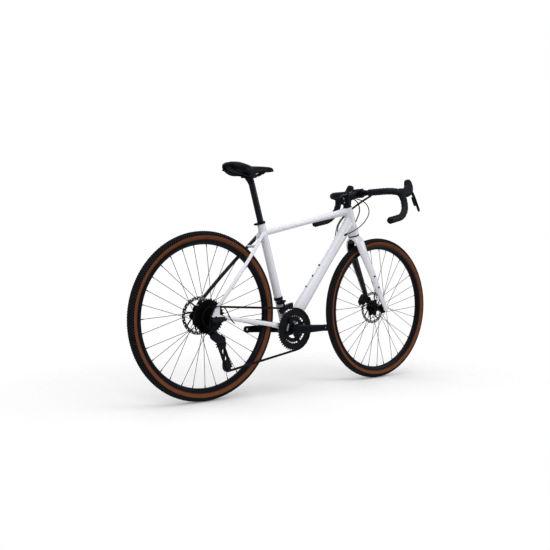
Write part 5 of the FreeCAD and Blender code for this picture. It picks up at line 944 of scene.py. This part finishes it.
# floor, light and camera
def floor():
    """Pale ground that fades out with its distance from the bike."""
    far, low = 9e3, -0.5
    corners = np.array([[-far, -far, low], [far, -far, low], [far, far, low], [-far, far, low]])
    material = finish("pale_floor", (0.93, 0.93, 0.93), (0.92, 0.92, 0.92), (0.8, 0.9), cloud=1,
                      grain=60, bump=0.0, shine=0.1)
    tree = material.node_tree
    place = tree.nodes.new("ShaderNodeTexCoord")
    reach = tree.nodes.new("ShaderNodeVectorMath")
    reach.operation = "LENGTH"
    fade = tree.nodes.new("ShaderNodeMapRange")
    fade.interpolation_type = "SMOOTHSTEP"
    for label, value in (("From Min", 0.5), ("From Max", 1.5), ("To Min", 0.9), ("To Max", 0.0)):
        fade.inputs[label].default_value = value
    tree.links.new(place.outputs["Object"], reach.inputs[0])
    tree.links.new(reach.outputs["Value"], fade.inputs["Value"])
    tree.links.new(fade.outputs["Result"], tree.nodes["Principled BSDF"].inputs["Alpha"])
    ground = put("floor", new_mesh("floor", corners, np.array([[0, 1, 2, 3]])))
    ground.data.materials.append(material)


def stand(thing, right, up, back, place):
    """Places a lamp or camera by the directions of its own three axes."""
    matrix = np.eye(4)
    matrix[:3] = np.stack([right, up, back, place], -1)
    thing.matrix_world = Matrix(matrix.tolist())


def lamp(name, place, aim, size, power):
    """Square lamp at a place in metres, turned to a point."""
    light = bpy.data.lights.new(name, "AREA")
    light.size = size
    light.energy = power
    place, aim = np.array(place, float), np.array(aim, float)
    back = unit(place - aim)
    right = unit(np.cross(UP, back))
    stand(put(name, light), right, np.cross(back, right), back, place)


def studio():
    """White surroundings to the eye, with a dimmer sky for light, a wide lamp overhead and three
    soft ones round the bike."""
    world = bpy.data.worlds.new("studio")
    world.use_nodes = True
    tree = world.node_tree
    sky = tree.nodes["Background"]
    sky.inputs["Color"].default_value = (1, 1, 1, 1)
    seen = tree.nodes.new("ShaderNodeLightPath")
    level = tree.nodes.new("ShaderNodeMapRange")
    level.inputs["To Min"].default_value = 0.42
    level.inputs["To Max"].default_value = 1.0
    tree.links.new(seen.outputs["Is Camera Ray"], level.inputs["Value"])
    tree.links.new(level.outputs["Result"], sky.inputs["Strength"])
    bpy.context.scene.world = world
    lamp("overhead", (-0.3, -0.4, 3.4), aim=(0, 0, 0.4), size=3.2, power=66)
    lamp("key", (-2.6, -2.6, 1.9), aim=(0, 0, 0.5), size=1.8, power=44)
    lamp("fill", (2.6, -2.2, 1.6), aim=(0, 0, 0.5), size=1.8, power=30)
    lamp("far_fill", (1.2, 3.2, 1.8), aim=(0, 0, 0.5), size=2.2, power=22)
    bpy.context.scene.view_settings.view_transform = "Standard"
    bpy.context.scene.view_settings.gamma = 0.82


def camera():
    """Camera fitted to the photograph: behind and to the right of the bike, a little above the
    axles. Its focal length and middle are in pixels of the square image."""
    image, focal, middle_x, middle_y = 550, 711.26, 300.67, 289.89
    aim, distance = np.array([0.0, 0.0, 0.45]), 3.2471
    turn, rise, roll = math.radians(-40.96), math.radians(2.33), math.radians(0.73)
    back = np.array([math.sin(turn) * math.cos(rise), -math.cos(turn) * math.cos(rise),
                     math.sin(rise)])
    right = unit(np.cross(-back, UP))
    up = np.cross(right, -back)
    lens = bpy.data.cameras.new("camera")
    lens.sensor_width = 36.0
    lens.lens = focal * lens.sensor_width / image
    lens.shift_x = (image / 2 - middle_x) / image
    lens.shift_y = (middle_y - image / 2) / image
    holder = put("camera", lens)
    stand(holder, math.cos(roll) * right + math.sin(roll) * up,
          -math.sin(roll) * right + math.cos(roll) * up, back, aim + back * distance)
    bpy.context.scene.camera = holder


floor()
studio()
camera()
